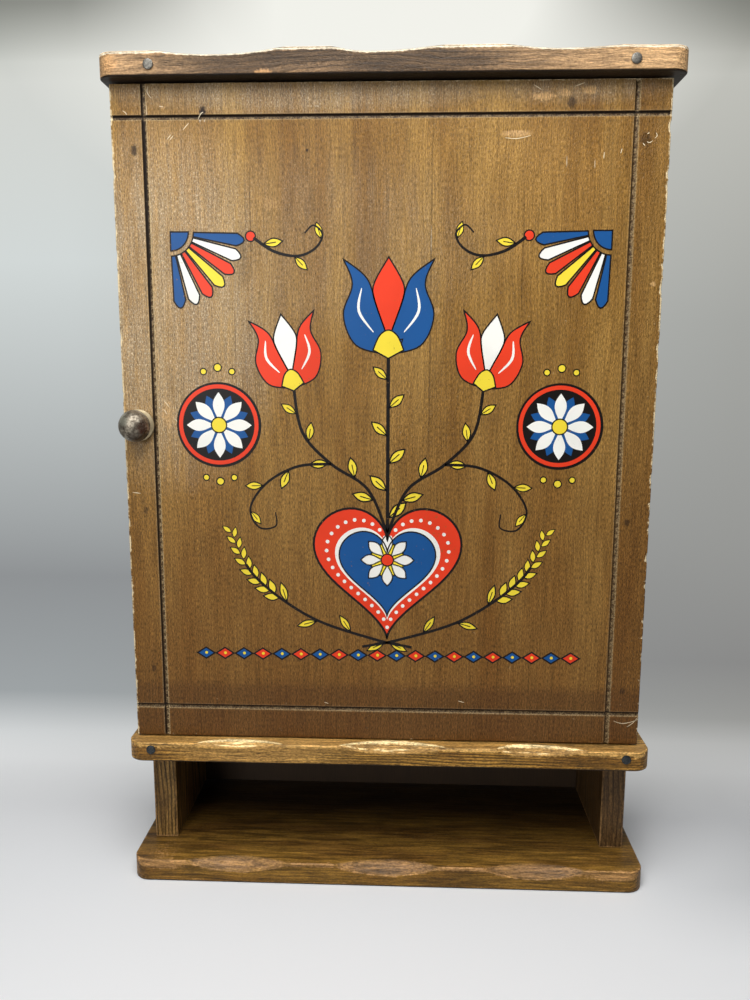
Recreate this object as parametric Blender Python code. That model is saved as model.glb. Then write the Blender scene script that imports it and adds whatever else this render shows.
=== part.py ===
"""A small wooden wall cabinet: a side-hung door over an upper bay, and an open shelf below.

Metres, +Z up. The front faces -Y and +X is on the right as one looks at the door.
The origin is the centre of the bottom board's underside.
"""
from math import asin, cos, pi, radians, sin, sqrt

import bmesh
import bpy
from mathutils import Vector

# Sizes of the whole cabinet: the door laps past the sides, and the boards run past the door
CASE_WIDTH = 0.3664
DOOR_SIDE_LAP = 0.0023
DOOR_SHIFT_LEFT = 0.0014
BOARD_END_OVERHANG = 0.0065
BOARD_FRONT_OVERHANG = 0.011
BOARD_DEPTH = 0.130
BOARD_THICKNESS = 0.017
MIDDLE_BOARD_THICKNESS = 0.015
SIDE_THICKNESS = 0.0176
OPEN_SHELF_HEIGHT = 0.0795
DOOR_HEIGHT = 0.4585
DOOR_GAP = 0.001

# Clearances: between pieces that touch, how far a cutter runs past a face, and the weld of doubled points
SEAT_GAP = 0.0003
OVERRUN = 0.002
WELD = 0.000001
ROUND_PROFILE_SHARE = 0.5

# The boards' rounded front corners, eased arrises and hewn gouges
BOARD_CORNER_RADIUS = 0.012
BOARD_EASING = 0.0014
TOP_GOUGE_DROP = 0.0048
TOP_GOUGE_SETBACK = 0.0155
TOP_GOUGE_LENGTH = 0.092
TOP_GOUGE_PLACE_SHARES = (-0.575, 0.01, 0.59)
MIDDLE_GOUGE_DROP = 0.0056
MIDDLE_GOUGE_SETBACK = 0.0080
MIDDLE_GOUGE_LENGTH = 0.080
MIDDLE_GOUGE_PLACE_SHARES = (-0.555, 0.023, 0.645)
BOTTOM_GOUGE_DROP = 0.0088
BOTTOM_GOUGE_SETBACK = 0.0090
BOTTOM_GOUGE_LENGTH = 0.082
BOTTOM_GOUGE_PLACE_SHARES = (-0.583, 0.005, 0.577)

# The case's sides, backs and shelves
SIDE_EASING = 0.0008
BACK_THICKNESS = 0.005
BACK_RABBET_WIDTH = 0.005
SHELF_THICKNESS = 0.012
SHELF_SETBACK = 0.003
SHELF_EASING = 0.0008
DADO_DEPTH = 0.004
SHELF_HEIGHT_SHARES = (0.335, 0.665)

# The door: a grooved plywood panel on a frame of battens
PANEL_THICKNESS = 0.0062
PANEL_EASING = 0.0016
BATTEN_WIDTH = 0.034
BATTEN_THICKNESS = 0.012
BATTEN_EASING = 0.0008
SIDE_GROOVE_INSET = 0.0228
TOP_GROOVE_INSET = 0.0216
BOTTOM_GROOVE_INSET = 0.0232
GROOVE_WIDTH = 0.0032
GROOVE_DEPTH = 0.0024

# The turned knob
KNOB_RADIUS = 0.0121
KNOB_DOME_RADIUS = 0.0112
KNOB_NECK_RADIUS = 0.0064
KNOB_FOOT_RADIUS = 0.0085
KNOB_FOOT_HEIGHT = 0.0022
KNOB_NECK_HEIGHT = 0.0058
KNOB_RIM_HEIGHT = 0.0092
KNOB_RIM_WIDTH = 0.0014
KNOB_HEIGHT = 0.0205
KNOB_RAISE = 0.0029

# The butt hinges
HINGE_LENGTH = 0.050
HINGE_LEAF_THICKNESS = 0.0008
HINGE_BARREL_RADIUS = 0.0022
HINGE_PIN_RADIUS = 0.0010
HINGE_PIN_HEAD_RADIUS = 0.0018
HINGE_PIN_HEAD_HEIGHT = 0.0010
HINGE_INSET = 0.082
HINGE_LEAF_MARGIN = 0.0015
HINGE_SCREW_SPACING = 0.030

# The magnetic catch
CATCH_FLANGE_LENGTH = 0.044
CATCH_FLANGE_THICKNESS = 0.003
CATCH_BODY_LENGTH = 0.024
CATCH_BODY_THICKNESS = 0.013
CATCH_BODY_DEPTH = 0.016
CATCH_SETBACK = 0.0006
MAGNET_LENGTH = 0.018
MAGNET_THICKNESS = 0.0065
MAGNET_DEPTH = 0.013
STRIKE_LENGTH = 0.024
STRIKE_WIDTH = 0.012
STRIKE_THICKNESS = 0.001

# The keyhole plates let into the back edges of the upper sides
HANGER_LENGTH = 0.038
HANGER_WIDTH = 0.0096
HANGER_THICKNESS = 0.0012
HANGER_DROP = 0.030
HANGER_SCREW_SPACING = 0.0285
KEYHOLE_RADIUS = 0.0034
KEYHOLE_SLOT_WIDTH = 0.0034
KEYHOLE_SLOT_LENGTH = 0.0085
KEYHOLE_POCKET_DEPTH = 0.006

# Fasteners: the small countersunk screw, the knob's screw, the nails of the case and the front nails
SCREW_HEAD_RADIUS = 0.0025
SCREW_HEAD_DEPTH = 0.0016
SCREW_RIM = 0.0002
SCREW_TIP_SHARE = 0.6
SCREW_SHANK_RADIUS = 0.0011
SCREW_LENGTH = 0.010
KNOB_SCREW_HEAD_RADIUS = 0.0038
KNOB_SCREW_HEAD_DEPTH = 0.0022
KNOB_SCREW_SHANK_RADIUS = 0.0019
KNOB_SCREW_REACH = 0.0075
KNOB_SCREW_SINK = 0.0010
CASE_NAIL_HEAD_RADIUS = 0.0015
CASE_NAIL_HEAD_DEPTH = 0.0010
CASE_NAIL_SHANK_RADIUS = 0.0009
CASE_NAIL_LENGTH = 0.036
CASE_NAIL_SET = 0.0006
CASE_NAIL_INSET = 0.022
FRONT_NAIL_HEAD_RADIUS = 0.0034
FRONT_NAIL_HEAD_HEIGHT = 0.0013
FRONT_NAIL_RIM_HEIGHT = 0.0005
FRONT_NAIL_SHANK_RADIUS = 0.0011
FRONT_NAIL_LENGTH = 0.020
TOP_NAIL_INSET = 0.0354
TOP_NAIL_RAISE = -0.0014
MIDDLE_NAIL_INSET = 0.0182
MIDDLE_NAIL_RAISE = 0.0019

# Counts of facets
KNOB_SIDES = 32
FASTENER_SIDES = 12
BARREL_SIDES = 16
CORNER_STEPS = 6
GOUGE_STEPS = 14
DOME_STEPS = 5
GROOVE_STEPS = 4
KNUCKLES = 5

# Places worked out from the sizes
DOOR_WIDTH = CASE_WIDTH + 2 * DOOR_SIDE_LAP
BOARD_WIDTH = DOOR_WIDTH + 2 * BOARD_END_OVERHANG
FRONT = -BOARD_DEPTH / 2
REAR = BOARD_DEPTH / 2
BOARD_HALF = BOARD_WIDTH / 2
MIDDLE_BOTTOM = BOARD_THICKNESS + OPEN_SHELF_HEIGHT
MIDDLE_TOP = MIDDLE_BOTTOM + MIDDLE_BOARD_THICKNESS
DOOR_BOTTOM = MIDDLE_TOP + DOOR_GAP
DOOR_TOP = DOOR_BOTTOM + DOOR_HEIGHT
TOP_BOTTOM = DOOR_TOP + DOOR_GAP
CABINET_HEIGHT = TOP_BOTTOM + BOARD_THICKNESS
DOOR_LEFT = -DOOR_WIDTH / 2 - DOOR_SHIFT_LEFT
DOOR_RIGHT = DOOR_LEFT + DOOR_WIDTH
DOOR_MIDDLE = (DOOR_BOTTOM + DOOR_TOP) / 2
DOOR_FACE = FRONT + BOARD_FRONT_OVERHANG
PANEL_REAR = DOOR_FACE + PANEL_THICKNESS
BATTEN_FRONT = PANEL_REAR + SEAT_GAP
DOOR_REAR = BATTEN_FRONT + BATTEN_THICKNESS
SIDE_FRONT = DOOR_REAR + 2 * HINGE_LEAF_THICKNESS + 3 * SEAT_GAP
SIDE_OUTER = CASE_WIDTH / 2
SIDE_INNER = SIDE_OUTER - SIDE_THICKNESS
BACK_FRONT = REAR - BACK_THICKNESS
BACK_HALF = SIDE_INNER + BACK_RABBET_WIDTH - SEAT_GAP
HINGE_X = DOOR_RIGHT + HINGE_BARREL_RADIUS + SEAT_GAP
HINGE_Y = (DOOR_REAR + SIDE_FRONT) / 2
CASE_LEAF_FACE = SIDE_FRONT - SEAT_GAP - HINGE_LEAF_THICKNESS
DOOR_LEAF_FACE = DOOR_REAR + SEAT_GAP + HINGE_LEAF_THICKNESS
KNOB_X = DOOR_LEFT + SIDE_GROOVE_INSET / 2
KNOB_Z = DOOR_MIDDLE + KNOB_RAISE
CATCH_Z = KNOB_Z
STRIKE_FACE = DOOR_REAR + SEAT_GAP + STRIKE_THICKNESS
CATCH_FRONT = SIDE_FRONT + CATCH_SETBACK
MAGNET_FRONT = STRIKE_FACE + SEAT_GAP
MAGNET_X = -(SIDE_INNER - SEAT_GAP - CATCH_BODY_THICKNESS / 2)
SIDE_MIDDLE = (SIDE_INNER + SIDE_OUTER) / 2
HANGER_X = SIDE_OUTER - (SIDE_THICKNESS - BACK_RABBET_WIDTH) / 2
HANGER_Z = TOP_BOTTOM - HANGER_DROP

TO_FRONT = (pi / 2, 0, 0)
TO_REAR = (-pi / 2, 0, 0)
TO_RIGHT = (0, pi / 2, 0)
UPSIDE_DOWN = (pi, 0, 0)


def clear_scene():
    for old in list(bpy.data.objects):
        bpy.data.objects.remove(old, do_unlink=True)


def make_finish(name, colour, roughness, metallic=0.0):
    finish = bpy.data.materials.new(name)
    finish.use_nodes = True
    shader = finish.node_tree.nodes["Principled BSDF"]
    shader.inputs["Base Color"].default_value = (*colour, 1.0)
    shader.inputs["Roughness"].default_value = roughness
    shader.inputs["Metallic"].default_value = metallic
    finish.diffuse_color = (*colour, 1.0)
    return finish


def finish_mesh(name, work):
    """Turns the working mesh into a closed mesh that faces out and is smooth but for its arrises."""
    bmesh.ops.remove_doubles(work, verts=work.verts, dist=WELD)
    bmesh.ops.recalc_face_normals(work, faces=work.faces)
    mesh = bpy.data.meshes.new(name)
    work.to_mesh(mesh)
    work.free()
    mesh.shade_smooth()
    mesh.set_sharp_from_angle(angle=radians(35))
    return mesh


def place(name, mesh, finish, at=(0, 0, 0), turn=(0, 0, 0), parent=None):
    """Adds a named piece; its place is given in the cabinet's frame, also under a parent."""
    piece = bpy.data.objects.new(name, mesh)
    bpy.context.scene.collection.objects.link(piece)
    piece.location = at
    piece.rotation_euler = turn
    if parent:
        piece.parent = parent
        piece.location = Vector(at) - parent.location
    if finish and not mesh.materials:
        mesh.materials.append(finish)
    return piece


def place_cutter(mesh, at=(0, 0, 0), turn=(0, 0, 0), parent=None):
    cutter = place("cutter_" + mesh.name, mesh, None, at, turn, parent)
    cutter.hide_render = True
    cutter.display_type = "WIRE"
    return cutter


def cut(piece, cutter):
    change = piece.modifiers.new("cut_" + cutter.name, "BOOLEAN")
    change.operation = "DIFFERENCE"
    change.solver = "EXACT"
    change.object = cutter


def block_mesh(name, size, easing=0.0):
    """A block round its own centre, with all its arrises eased."""
    work = bmesh.new()
    bmesh.ops.create_cube(work, size=1.0)
    bmesh.ops.scale(work, vec=size, verts=work.verts)
    if easing:
        bmesh.ops.bevel(work, geom=work.edges[:], offset=easing, segments=2, profile=ROUND_PROFILE_SHARE,
                        affect="EDGES")
    return finish_mesh(name, work)


def block(name, low, high, finish, easing=0.0, parent=None):
    """A block between two opposite corners."""
    low, high = Vector(low), Vector(high)
    return place(name, block_mesh(name, high - low, easing), finish, (low + high) / 2, parent=parent)


def cutting_block(name, low, high, parent=None):
    low, high = Vector(low), Vector(high)
    return place_cutter(block_mesh(name, high - low), (low + high) / 2, parent=parent)


def turned_mesh(name, profile, sides):
    """Spins a profile of (radius, height) points round Z."""
    work = bmesh.new()
    points = [work.verts.new((radius, 0, height)) for radius, height in profile]
    edges = [work.edges.new(pair) for pair in zip(points, points[1:])]
    bmesh.ops.spin(work, geom=points + edges, cent=(0, 0, 0), axis=(0, 0, 1), angle=2 * pi, steps=sides,
                   use_merge=True)
    return finish_mesh(name, work)


def drawn_mesh(name, outline, start, end, lift):
    """Draws a closed outline into a solid; lift turns an outline point and a height into a place."""
    work = bmesh.new()
    face = work.faces.new([work.verts.new(lift(u, v, start)) for u, v in outline])
    grown = bmesh.ops.extrude_face_region(work, geom=[face])
    far = Vector(lift(0, 0, end)) - Vector(lift(0, 0, start))
    moved = [item for item in grown["geom"] if isinstance(item, bmesh.types.BMVert)]
    bmesh.ops.translate(work, vec=far, verts=moved)
    return finish_mesh(name, work)


def up_z(u, v, height):
    return (u, v, height)


def along_y(u, v, depth):
    return (u, depth, v)


def arc(centre, radius, start, end, steps):
    """Points of an arc, both ends included."""
    angles = [start + (end - start) * step / steps for step in range(steps + 1)]
    return [(centre[0] + radius * cos(angle), centre[1] + radius * sin(angle)) for angle in angles]


def gouge_share(x, gouges):
    """How deep the hewn gouges reach at x, as a share of the deepest cut."""
    half = gouges["length"] / 2
    return max([0.0, *[1 - ((x - centre) / half) ** 2 for centre in gouges["places"]]])


def board_front(x):
    """The board's front edge at x: straight, and rounded in plan at both corners."""
    beyond = max(0.0, abs(x) - (BOARD_HALF - BOARD_CORNER_RADIUS))
    return FRONT + BOARD_CORNER_RADIUS - sqrt(max(0.0, BOARD_CORNER_RADIUS ** 2 - beyond ** 2))


def board_section(x, thickness, gouges):
    """The board's outline at x, from the rear of the underside round the front to the rear of the top."""
    share = gouge_share(x, gouges)
    drop = max(BOARD_EASING, gouges["drop"] * share)
    setback = max(BOARD_EASING, gouges["setback"] * share)
    front = board_front(x)
    round_share = 1 - cos(pi / 4)
    crown = BOARD_EASING * round_share * cos(pi / 4)
    section = [
        (REAR, 0.0),
        (front + BOARD_EASING, 0.0),
        (front + BOARD_EASING * round_share, BOARD_EASING * round_share),
        (front, BOARD_EASING),
        (front, thickness - drop),
        (front + setback / 2 - crown, thickness - drop / 2 + crown),
        (front + setback, thickness),
        (REAR, thickness),
    ]
    if abs(x) < BOARD_HALF:
        return section
    middle = thickness / 2
    eased_share = 1 - BOARD_EASING / middle
    return [(y, middle + (z - middle) * eased_share) for y, z in section]


def board_stations(gouges):
    """Where the board's sections stand: close round the corners and through each gouge."""
    straight = BOARD_HALF - BOARD_CORNER_RADIUS
    quarter = [pi / 2 * step / CORNER_STEPS for step in range(CORNER_STEPS + 1)]
    turns = [straight + BOARD_CORNER_RADIUS * sin(turn) for turn in quarter]
    half = gouges["length"] / 2
    steps = [2 * step / GOUGE_STEPS - 1 for step in range(GOUGE_STEPS + 1)]
    hewn = [centre + half * step for centre in gouges["places"] for step in steps]
    inside = [x for x in hewn if abs(x) < straight]
    return sorted(turns + [-x for x in turns] + inside)


def board_mesh(name, thickness, gouges):
    """A board lofted through its sections, each a function of its place across the width."""
    work = bmesh.new()
    rings = []
    for x in board_stations(gouges):
        rings.append([work.verts.new((x, y, z)) for y, z in board_section(x, thickness, gouges)])
    for ring, following in zip(rings, rings[1:]):
        for index in range(len(ring)):
            after = (index + 1) % len(ring)
            work.faces.new((ring[index], ring[after], following[after], following[index]))
    work.faces.new(rings[0])
    work.faces.new(rings[-1])
    return finish_mesh(name, work)


def screw_profile(grow=0.0, top=0.0):
    """A countersunk screw, its flat head's top at height 0; grown and with a raised top, it is its hole."""
    shank = SCREW_SHANK_RADIUS + grow
    head = SCREW_HEAD_RADIUS + grow
    tip = -SCREW_LENGTH - grow
    return [(0.0, tip), (shank * SCREW_TIP_SHARE, tip), (shank, tip + SCREW_HEAD_DEPTH),
            (shank, -SCREW_HEAD_DEPTH - grow), (head, -SCREW_RIM - grow), (head, top), (0.0, top)]


def case_nail_profile(grow=0.0, top=0.0):
    """A finishing nail, its head's top at height 0; grown and with a raised top, it is its hole."""
    shank = CASE_NAIL_SHANK_RADIUS + grow
    head = CASE_NAIL_HEAD_RADIUS + grow
    tip = -CASE_NAIL_LENGTH - grow
    return [(0.0, tip), (shank, tip + CASE_NAIL_HEAD_DEPTH), (shank, -CASE_NAIL_HEAD_DEPTH - grow),
            (head, -CASE_NAIL_HEAD_DEPTH / 2 - grow), (head, top), (0.0, top)]


def front_nail_profile():
    """A round-headed nail, the wood's face at height 0."""
    dome = FRONT_NAIL_HEAD_HEIGHT - FRONT_NAIL_RIM_HEIGHT
    rim = SEAT_GAP + FRONT_NAIL_RIM_HEIGHT
    turns = [pi / 2 * step / DOME_STEPS for step in range(DOME_STEPS)]
    head = [(FRONT_NAIL_HEAD_RADIUS * cos(turn), rim + dome * sin(turn)) for turn in turns]
    return [(0.0, -FRONT_NAIL_LENGTH), (FRONT_NAIL_SHANK_RADIUS, -FRONT_NAIL_LENGTH + FRONT_NAIL_HEAD_RADIUS),
            (FRONT_NAIL_SHANK_RADIUS, SEAT_GAP), (FRONT_NAIL_HEAD_RADIUS, SEAT_GAP), *head, (0.0, rim + dome)]


def front_nail_hole_profile():
    bore = FRONT_NAIL_SHANK_RADIUS + SEAT_GAP
    bottom = -FRONT_NAIL_LENGTH - SEAT_GAP
    return [(0.0, bottom), (bore, bottom), (bore, OVERRUN), (0.0, OVERRUN)]


def knob_profile():
    """The knob from its seat on the door out to its crown, with the blind bore for its screw."""
    bore = KNOB_SCREW_SHANK_RADIUS + SEAT_GAP
    bore_end = KNOB_SCREW_REACH + SEAT_GAP
    brow = KNOB_RIM_HEIGHT + KNOB_RIM_WIDTH
    crown = KNOB_HEIGHT - brow
    turns = [pi / 2 * step / DOME_STEPS for step in range(DOME_STEPS)]
    dome = [(KNOB_DOME_RADIUS * cos(turn), brow + crown * sin(turn)) for turn in turns]
    waist = (KNOB_FOOT_HEIGHT + KNOB_NECK_HEIGHT) / 2
    return [(0.0, bore_end), (bore, bore_end), (bore, SEAT_GAP), (KNOB_FOOT_RADIUS, SEAT_GAP),
            (KNOB_FOOT_RADIUS, KNOB_FOOT_HEIGHT), (KNOB_NECK_RADIUS, waist),
            (KNOB_NECK_RADIUS, KNOB_NECK_HEIGHT), (KNOB_DOME_RADIUS, KNOB_RIM_HEIGHT - KNOB_RIM_WIDTH / 2),
            (KNOB_RADIUS, KNOB_RIM_HEIGHT), (KNOB_RADIUS, KNOB_RIM_HEIGHT + KNOB_RIM_WIDTH / 2), *dome,
            (0.0, KNOB_HEIGHT)]


def knob_screw_profile(grow=0.0):
    """The knob's screw, the door's face at height 0, its head sunk in the batten's rear."""
    shank = KNOB_SCREW_SHANK_RADIUS + grow
    head = KNOB_SCREW_HEAD_RADIUS + grow
    head_end = DOOR_FACE - DOOR_REAR + KNOB_SCREW_SINK
    head_top = head_end + KNOB_SCREW_HEAD_DEPTH + grow
    outer = DOOR_FACE - DOOR_REAR - OVERRUN if grow else head_end
    reach = OVERRUN if grow else KNOB_SCREW_REACH
    return [(0.0, outer), (head, outer), (head, head_top), (shank, head_top), (shank, reach), (0.0, reach)]


def side_outline(hand):
    """The plan of a side piece: eased front arrises, and a rabbet for the back; hand is -1 left, 1 right."""
    rabbet_x = SIDE_INNER + BACK_RABBET_WIDTH
    rabbet_y = BACK_FRONT - SEAT_GAP
    outline = [(SIDE_OUTER, REAR), (rabbet_x, REAR), (rabbet_x, rabbet_y), (SIDE_INNER, rabbet_y),
               (SIDE_INNER, SIDE_FRONT + SIDE_EASING), (SIDE_INNER + SIDE_EASING, SIDE_FRONT),
               (SIDE_OUTER - SIDE_EASING, SIDE_FRONT), (SIDE_OUTER, SIDE_FRONT + SIDE_EASING)]
    return [(hand * x, y) for x, y in outline]


def stadium(width, length, grow=0.0):
    """An upright outline with half-round ends, round its own centre."""
    radius = width / 2 + grow
    reach = (length - width) / 2
    return (arc((0, reach), radius, 0, pi, BARREL_SIDES // 2)
            + arc((0, -reach), radius, pi, 2 * pi, BARREL_SIDES // 2))


def keyhole():
    """A round hole with a narrower slot above it, the round hole's centre at the outline's own centre."""
    slot = KEYHOLE_SLOT_WIDTH / 2
    meet = asin(slot / KEYHOLE_RADIUS)
    return (arc((0, KEYHOLE_SLOT_LENGTH), slot, 0, pi, GROOVE_STEPS)
            + arc((0, 0), KEYHOLE_RADIUS, pi / 2 + meet, 5 * pi / 2 - meet, BARREL_SIDES))


def groove_outline():
    """A routed groove's section: straight walls and a round bottom, run out past the panel's face."""
    radius = GROOVE_WIDTH / 2
    bottom = arc((0, GROOVE_DEPTH - radius), radius, 0, pi, GROOVE_STEPS)
    return [(radius, -OVERRUN), *bottom, (-radius, -OVERRUN)]


def build_boards(wood, nail_metal):
    """The top, middle and bottom boards, and the round-headed nails in the fronts of the upper two."""
    rows = (
        ("top_board", TOP_BOTTOM, BOARD_THICKNESS, TOP_GOUGE_DROP, TOP_GOUGE_SETBACK, TOP_GOUGE_LENGTH,
         TOP_GOUGE_PLACE_SHARES),
        ("middle_board", MIDDLE_BOTTOM, MIDDLE_BOARD_THICKNESS, MIDDLE_GOUGE_DROP, MIDDLE_GOUGE_SETBACK,
         MIDDLE_GOUGE_LENGTH, MIDDLE_GOUGE_PLACE_SHARES),
        ("bottom_board", 0.0, BOARD_THICKNESS, BOTTOM_GOUGE_DROP, BOTTOM_GOUGE_SETBACK, BOTTOM_GOUGE_LENGTH,
         BOTTOM_GOUGE_PLACE_SHARES),
    )
    boards = {}
    for name, height, thickness, drop, setback, length, place_shares in rows:
        gouges = {"drop": drop, "setback": setback, "length": length,
                  "places": [share * BOARD_HALF for share in place_shares]}
        boards[name] = place(name, board_mesh(name, thickness, gouges), wood, (0, 0, height))

    nail = turned_mesh("front_nail", front_nail_profile(), FASTENER_SIDES)
    hole = turned_mesh("front_nail_hole", front_nail_hole_profile(), FASTENER_SIDES)
    top_height = TOP_BOTTOM + BOARD_THICKNESS / 2 + TOP_NAIL_RAISE
    middle_height = MIDDLE_BOTTOM + MIDDLE_BOARD_THICKNESS / 2 + MIDDLE_NAIL_RAISE
    for board, inset, height in (("top", TOP_NAIL_INSET, top_height),
                                 ("middle", MIDDLE_NAIL_INSET, middle_height)):
        for side, hand in (("left", -1), ("right", 1)):
            at = (hand * (BOARD_HALF - inset), FRONT, height)
            place(f"{board}_nail_{side}", nail, nail_metal, at, TO_FRONT)
            cut(boards[board + "_board"], place_cutter(hole, at, TO_FRONT))
    return boards


def build_sides(boards, wood, steel):
    """The four side pieces, nailed through the top and bottom boards."""
    nail = turned_mesh("case_nail", case_nail_profile(), FASTENER_SIDES)
    hole = turned_mesh("case_nail_hole", case_nail_profile(SEAT_GAP, CASE_NAIL_SET + OVERRUN), FASTENER_SIDES)
    sides = {}
    for side, hand in (("left", -1), ("right", 1)):
        for bay, low, high in (("upper", MIDDLE_TOP, TOP_BOTTOM), ("lower", BOARD_THICKNESS, MIDDLE_BOTTOM)):
            name = f"{bay}_side_{side}"
            mesh = drawn_mesh(name, side_outline(hand), low + SEAT_GAP, high - SEAT_GAP, up_z)
            sides[name] = place(name, mesh, wood)
        for end, depth in (("front", SIDE_FRONT + CASE_NAIL_INSET), ("rear", BACK_FRONT - CASE_NAIL_INSET)):
            above = (hand * SIDE_MIDDLE, depth, CABINET_HEIGHT - CASE_NAIL_SET)
            below = (hand * SIDE_MIDDLE, depth, CASE_NAIL_SET)
            for bay, board, at, turn in (("upper", "top", above, (0, 0, 0)),
                                         ("lower", "bottom", below, UPSIDE_DOWN)):
                place(f"{board}_case_nail_{side}_{end}", nail, steel, at, turn)
                cutter = place_cutter(hole, at, turn)
                cut(boards[board + "_board"], cutter)
                cut(sides[f"{bay}_side_{side}"], cutter)
    return sides


def build_backs(plywood):
    """The thin backs of both bays, lying in the sides' rabbets."""
    for name, low, high in (("upper_back", MIDDLE_TOP, TOP_BOTTOM),
                            ("lower_back", BOARD_THICKNESS, MIDDLE_BOTTOM)):
        block(name, (-BACK_HALF, BACK_FRONT, low + SEAT_GAP), (BACK_HALF, REAR, high - SEAT_GAP), plywood)


def build_shelves(sides, wood):
    """Two shelves housed in dadoes cut across the upper sides."""
    bay = TOP_BOTTOM - MIDDLE_TOP
    reach = SIDE_INNER + DADO_DEPTH
    for name, share in zip(("lower_shelf", "upper_shelf"), SHELF_HEIGHT_SHARES):
        low = MIDDLE_TOP + bay * share - SHELF_THICKNESS / 2
        high = low + SHELF_THICKNESS
        block(name, (SEAT_GAP - reach, SIDE_FRONT + SHELF_SETBACK, low),
              (reach - SEAT_GAP, BACK_FRONT - SEAT_GAP, high), wood, SHELF_EASING)
        dado = cutting_block(name + "_dado", (-reach, SIDE_FRONT - OVERRUN, low - SEAT_GAP),
                             (reach, REAR + OVERRUN, high + SEAT_GAP))
        for side in ("left", "right"):
            cut(sides["upper_side_" + side], dado)


def build_door(axis, plywood, wood):
    """The grooved panel and the four battens behind it; returns the pieces that others cut."""
    panel = block("door_panel", (DOOR_LEFT, DOOR_FACE, DOOR_BOTTOM), (DOOR_RIGHT, PANEL_REAR, DOOR_TOP),
                  plywood, PANEL_EASING, axis)
    upright = drawn_mesh("upright_groove", groove_outline(), DOOR_BOTTOM - OVERRUN, DOOR_TOP + OVERRUN, up_z)
    level = drawn_mesh("level_groove", groove_outline(), DOOR_LEFT - OVERRUN, DOOR_RIGHT + OVERRUN, up_z)
    for x in (DOOR_LEFT + SIDE_GROOVE_INSET, DOOR_RIGHT - SIDE_GROOVE_INSET):
        cut(panel, place_cutter(upright, (x, DOOR_FACE, 0), parent=axis))
    for z in (DOOR_BOTTOM + BOTTOM_GROOVE_INSET, DOOR_TOP - TOP_GROOVE_INSET):
        cut(panel, place_cutter(level, (0, DOOR_FACE, z), TO_RIGHT, axis))

    stiles = {}
    for side, low, high in (("left", DOOR_LEFT, DOOR_LEFT + BATTEN_WIDTH),
                            ("right", DOOR_RIGHT - BATTEN_WIDTH, DOOR_RIGHT)):
        stiles[side] = block("door_stile_" + side, (low, BATTEN_FRONT, DOOR_BOTTOM),
                             (high, DOOR_REAR, DOOR_TOP), wood, BATTEN_EASING, axis)
    rail_left = DOOR_LEFT + BATTEN_WIDTH + SEAT_GAP
    rail_right = DOOR_RIGHT - BATTEN_WIDTH - SEAT_GAP
    for end, low, high in (("bottom", DOOR_BOTTOM, DOOR_BOTTOM + BATTEN_WIDTH),
                           ("top", DOOR_TOP - BATTEN_WIDTH, DOOR_TOP)):
        block("door_rail_" + end, (rail_left, BATTEN_FRONT, low), (rail_right, DOOR_REAR, high),
              wood, BATTEN_EASING, axis)
    return panel, stiles


def build_knob(axis, panel, stile, bronze, steel):
    """The knob and the screw that draws it on from behind."""
    at = (KNOB_X, DOOR_FACE, KNOB_Z)
    knob = turned_mesh("door_knob", knob_profile(), KNOB_SIDES)
    place("door_knob", knob, bronze, at, TO_FRONT, axis)
    screw = turned_mesh("knob_screw", knob_screw_profile(), FASTENER_SIDES)
    place("knob_screw", screw, steel, at, TO_FRONT, axis)
    screw_hole = turned_mesh("knob_screw_hole", knob_screw_profile(SEAT_GAP), FASTENER_SIDES)
    hole = place_cutter(screw_hole, at, TO_FRONT, axis)
    cut(panel, hole)
    cut(stile, hole)


def knuckle_spans(first):
    """The heights of every other knuckle, from the one numbered first, round the hinge's own middle."""
    pitch = HINGE_LENGTH / KNUCKLES
    lows = [-HINGE_LENGTH / 2 + pitch * index for index in range(first, KNUCKLES, 2)]
    return [(low, low + pitch) for low in lows]


def leaf_outline(hand):
    """A leaf's section: a plate rolled into a barrel round its pin; hand is 1 behind it, -1 in front."""
    bore = HINGE_PIN_RADIUS + SEAT_GAP
    near = SEAT_GAP / 2
    far = near + HINGE_LEAF_THICKNESS
    curl_end = asin((SEAT_GAP - near) / HINGE_BARREL_RADIUS) - pi
    plate_end = SIDE_INNER + HINGE_LEAF_MARGIN - HINGE_X
    over = arc((0, 0), HINGE_BARREL_RADIUS, pi - asin(far / HINGE_BARREL_RADIUS), curl_end, BARREL_SIDES)
    back = arc((0, 0), bore, curl_end, pi - asin(near / bore), BARREL_SIDES)
    return [(x, hand * y) for x, y in [(plate_end, far), *over, *back, (plate_end, near)]]


def cut_knuckles(leaf, height, first, parent=None):
    """Cuts a leaf away where the other leaf's knuckles turn."""
    clear = HINGE_BARREL_RADIUS + SEAT_GAP
    half = HINGE_LENGTH / 2
    for low, high in knuckle_spans(first):
        gap_low = SEAT_GAP / 2 if low > -half else OVERRUN
        gap_high = SEAT_GAP / 2 if high < half else OVERRUN
        notch = cutting_block("hinge_notch", (HINGE_X - clear, HINGE_Y - clear, height + low - gap_low),
                              (HINGE_X + clear, HINGE_Y + clear, height + high + gap_high), parent)
        cut(leaf, notch)


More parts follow.
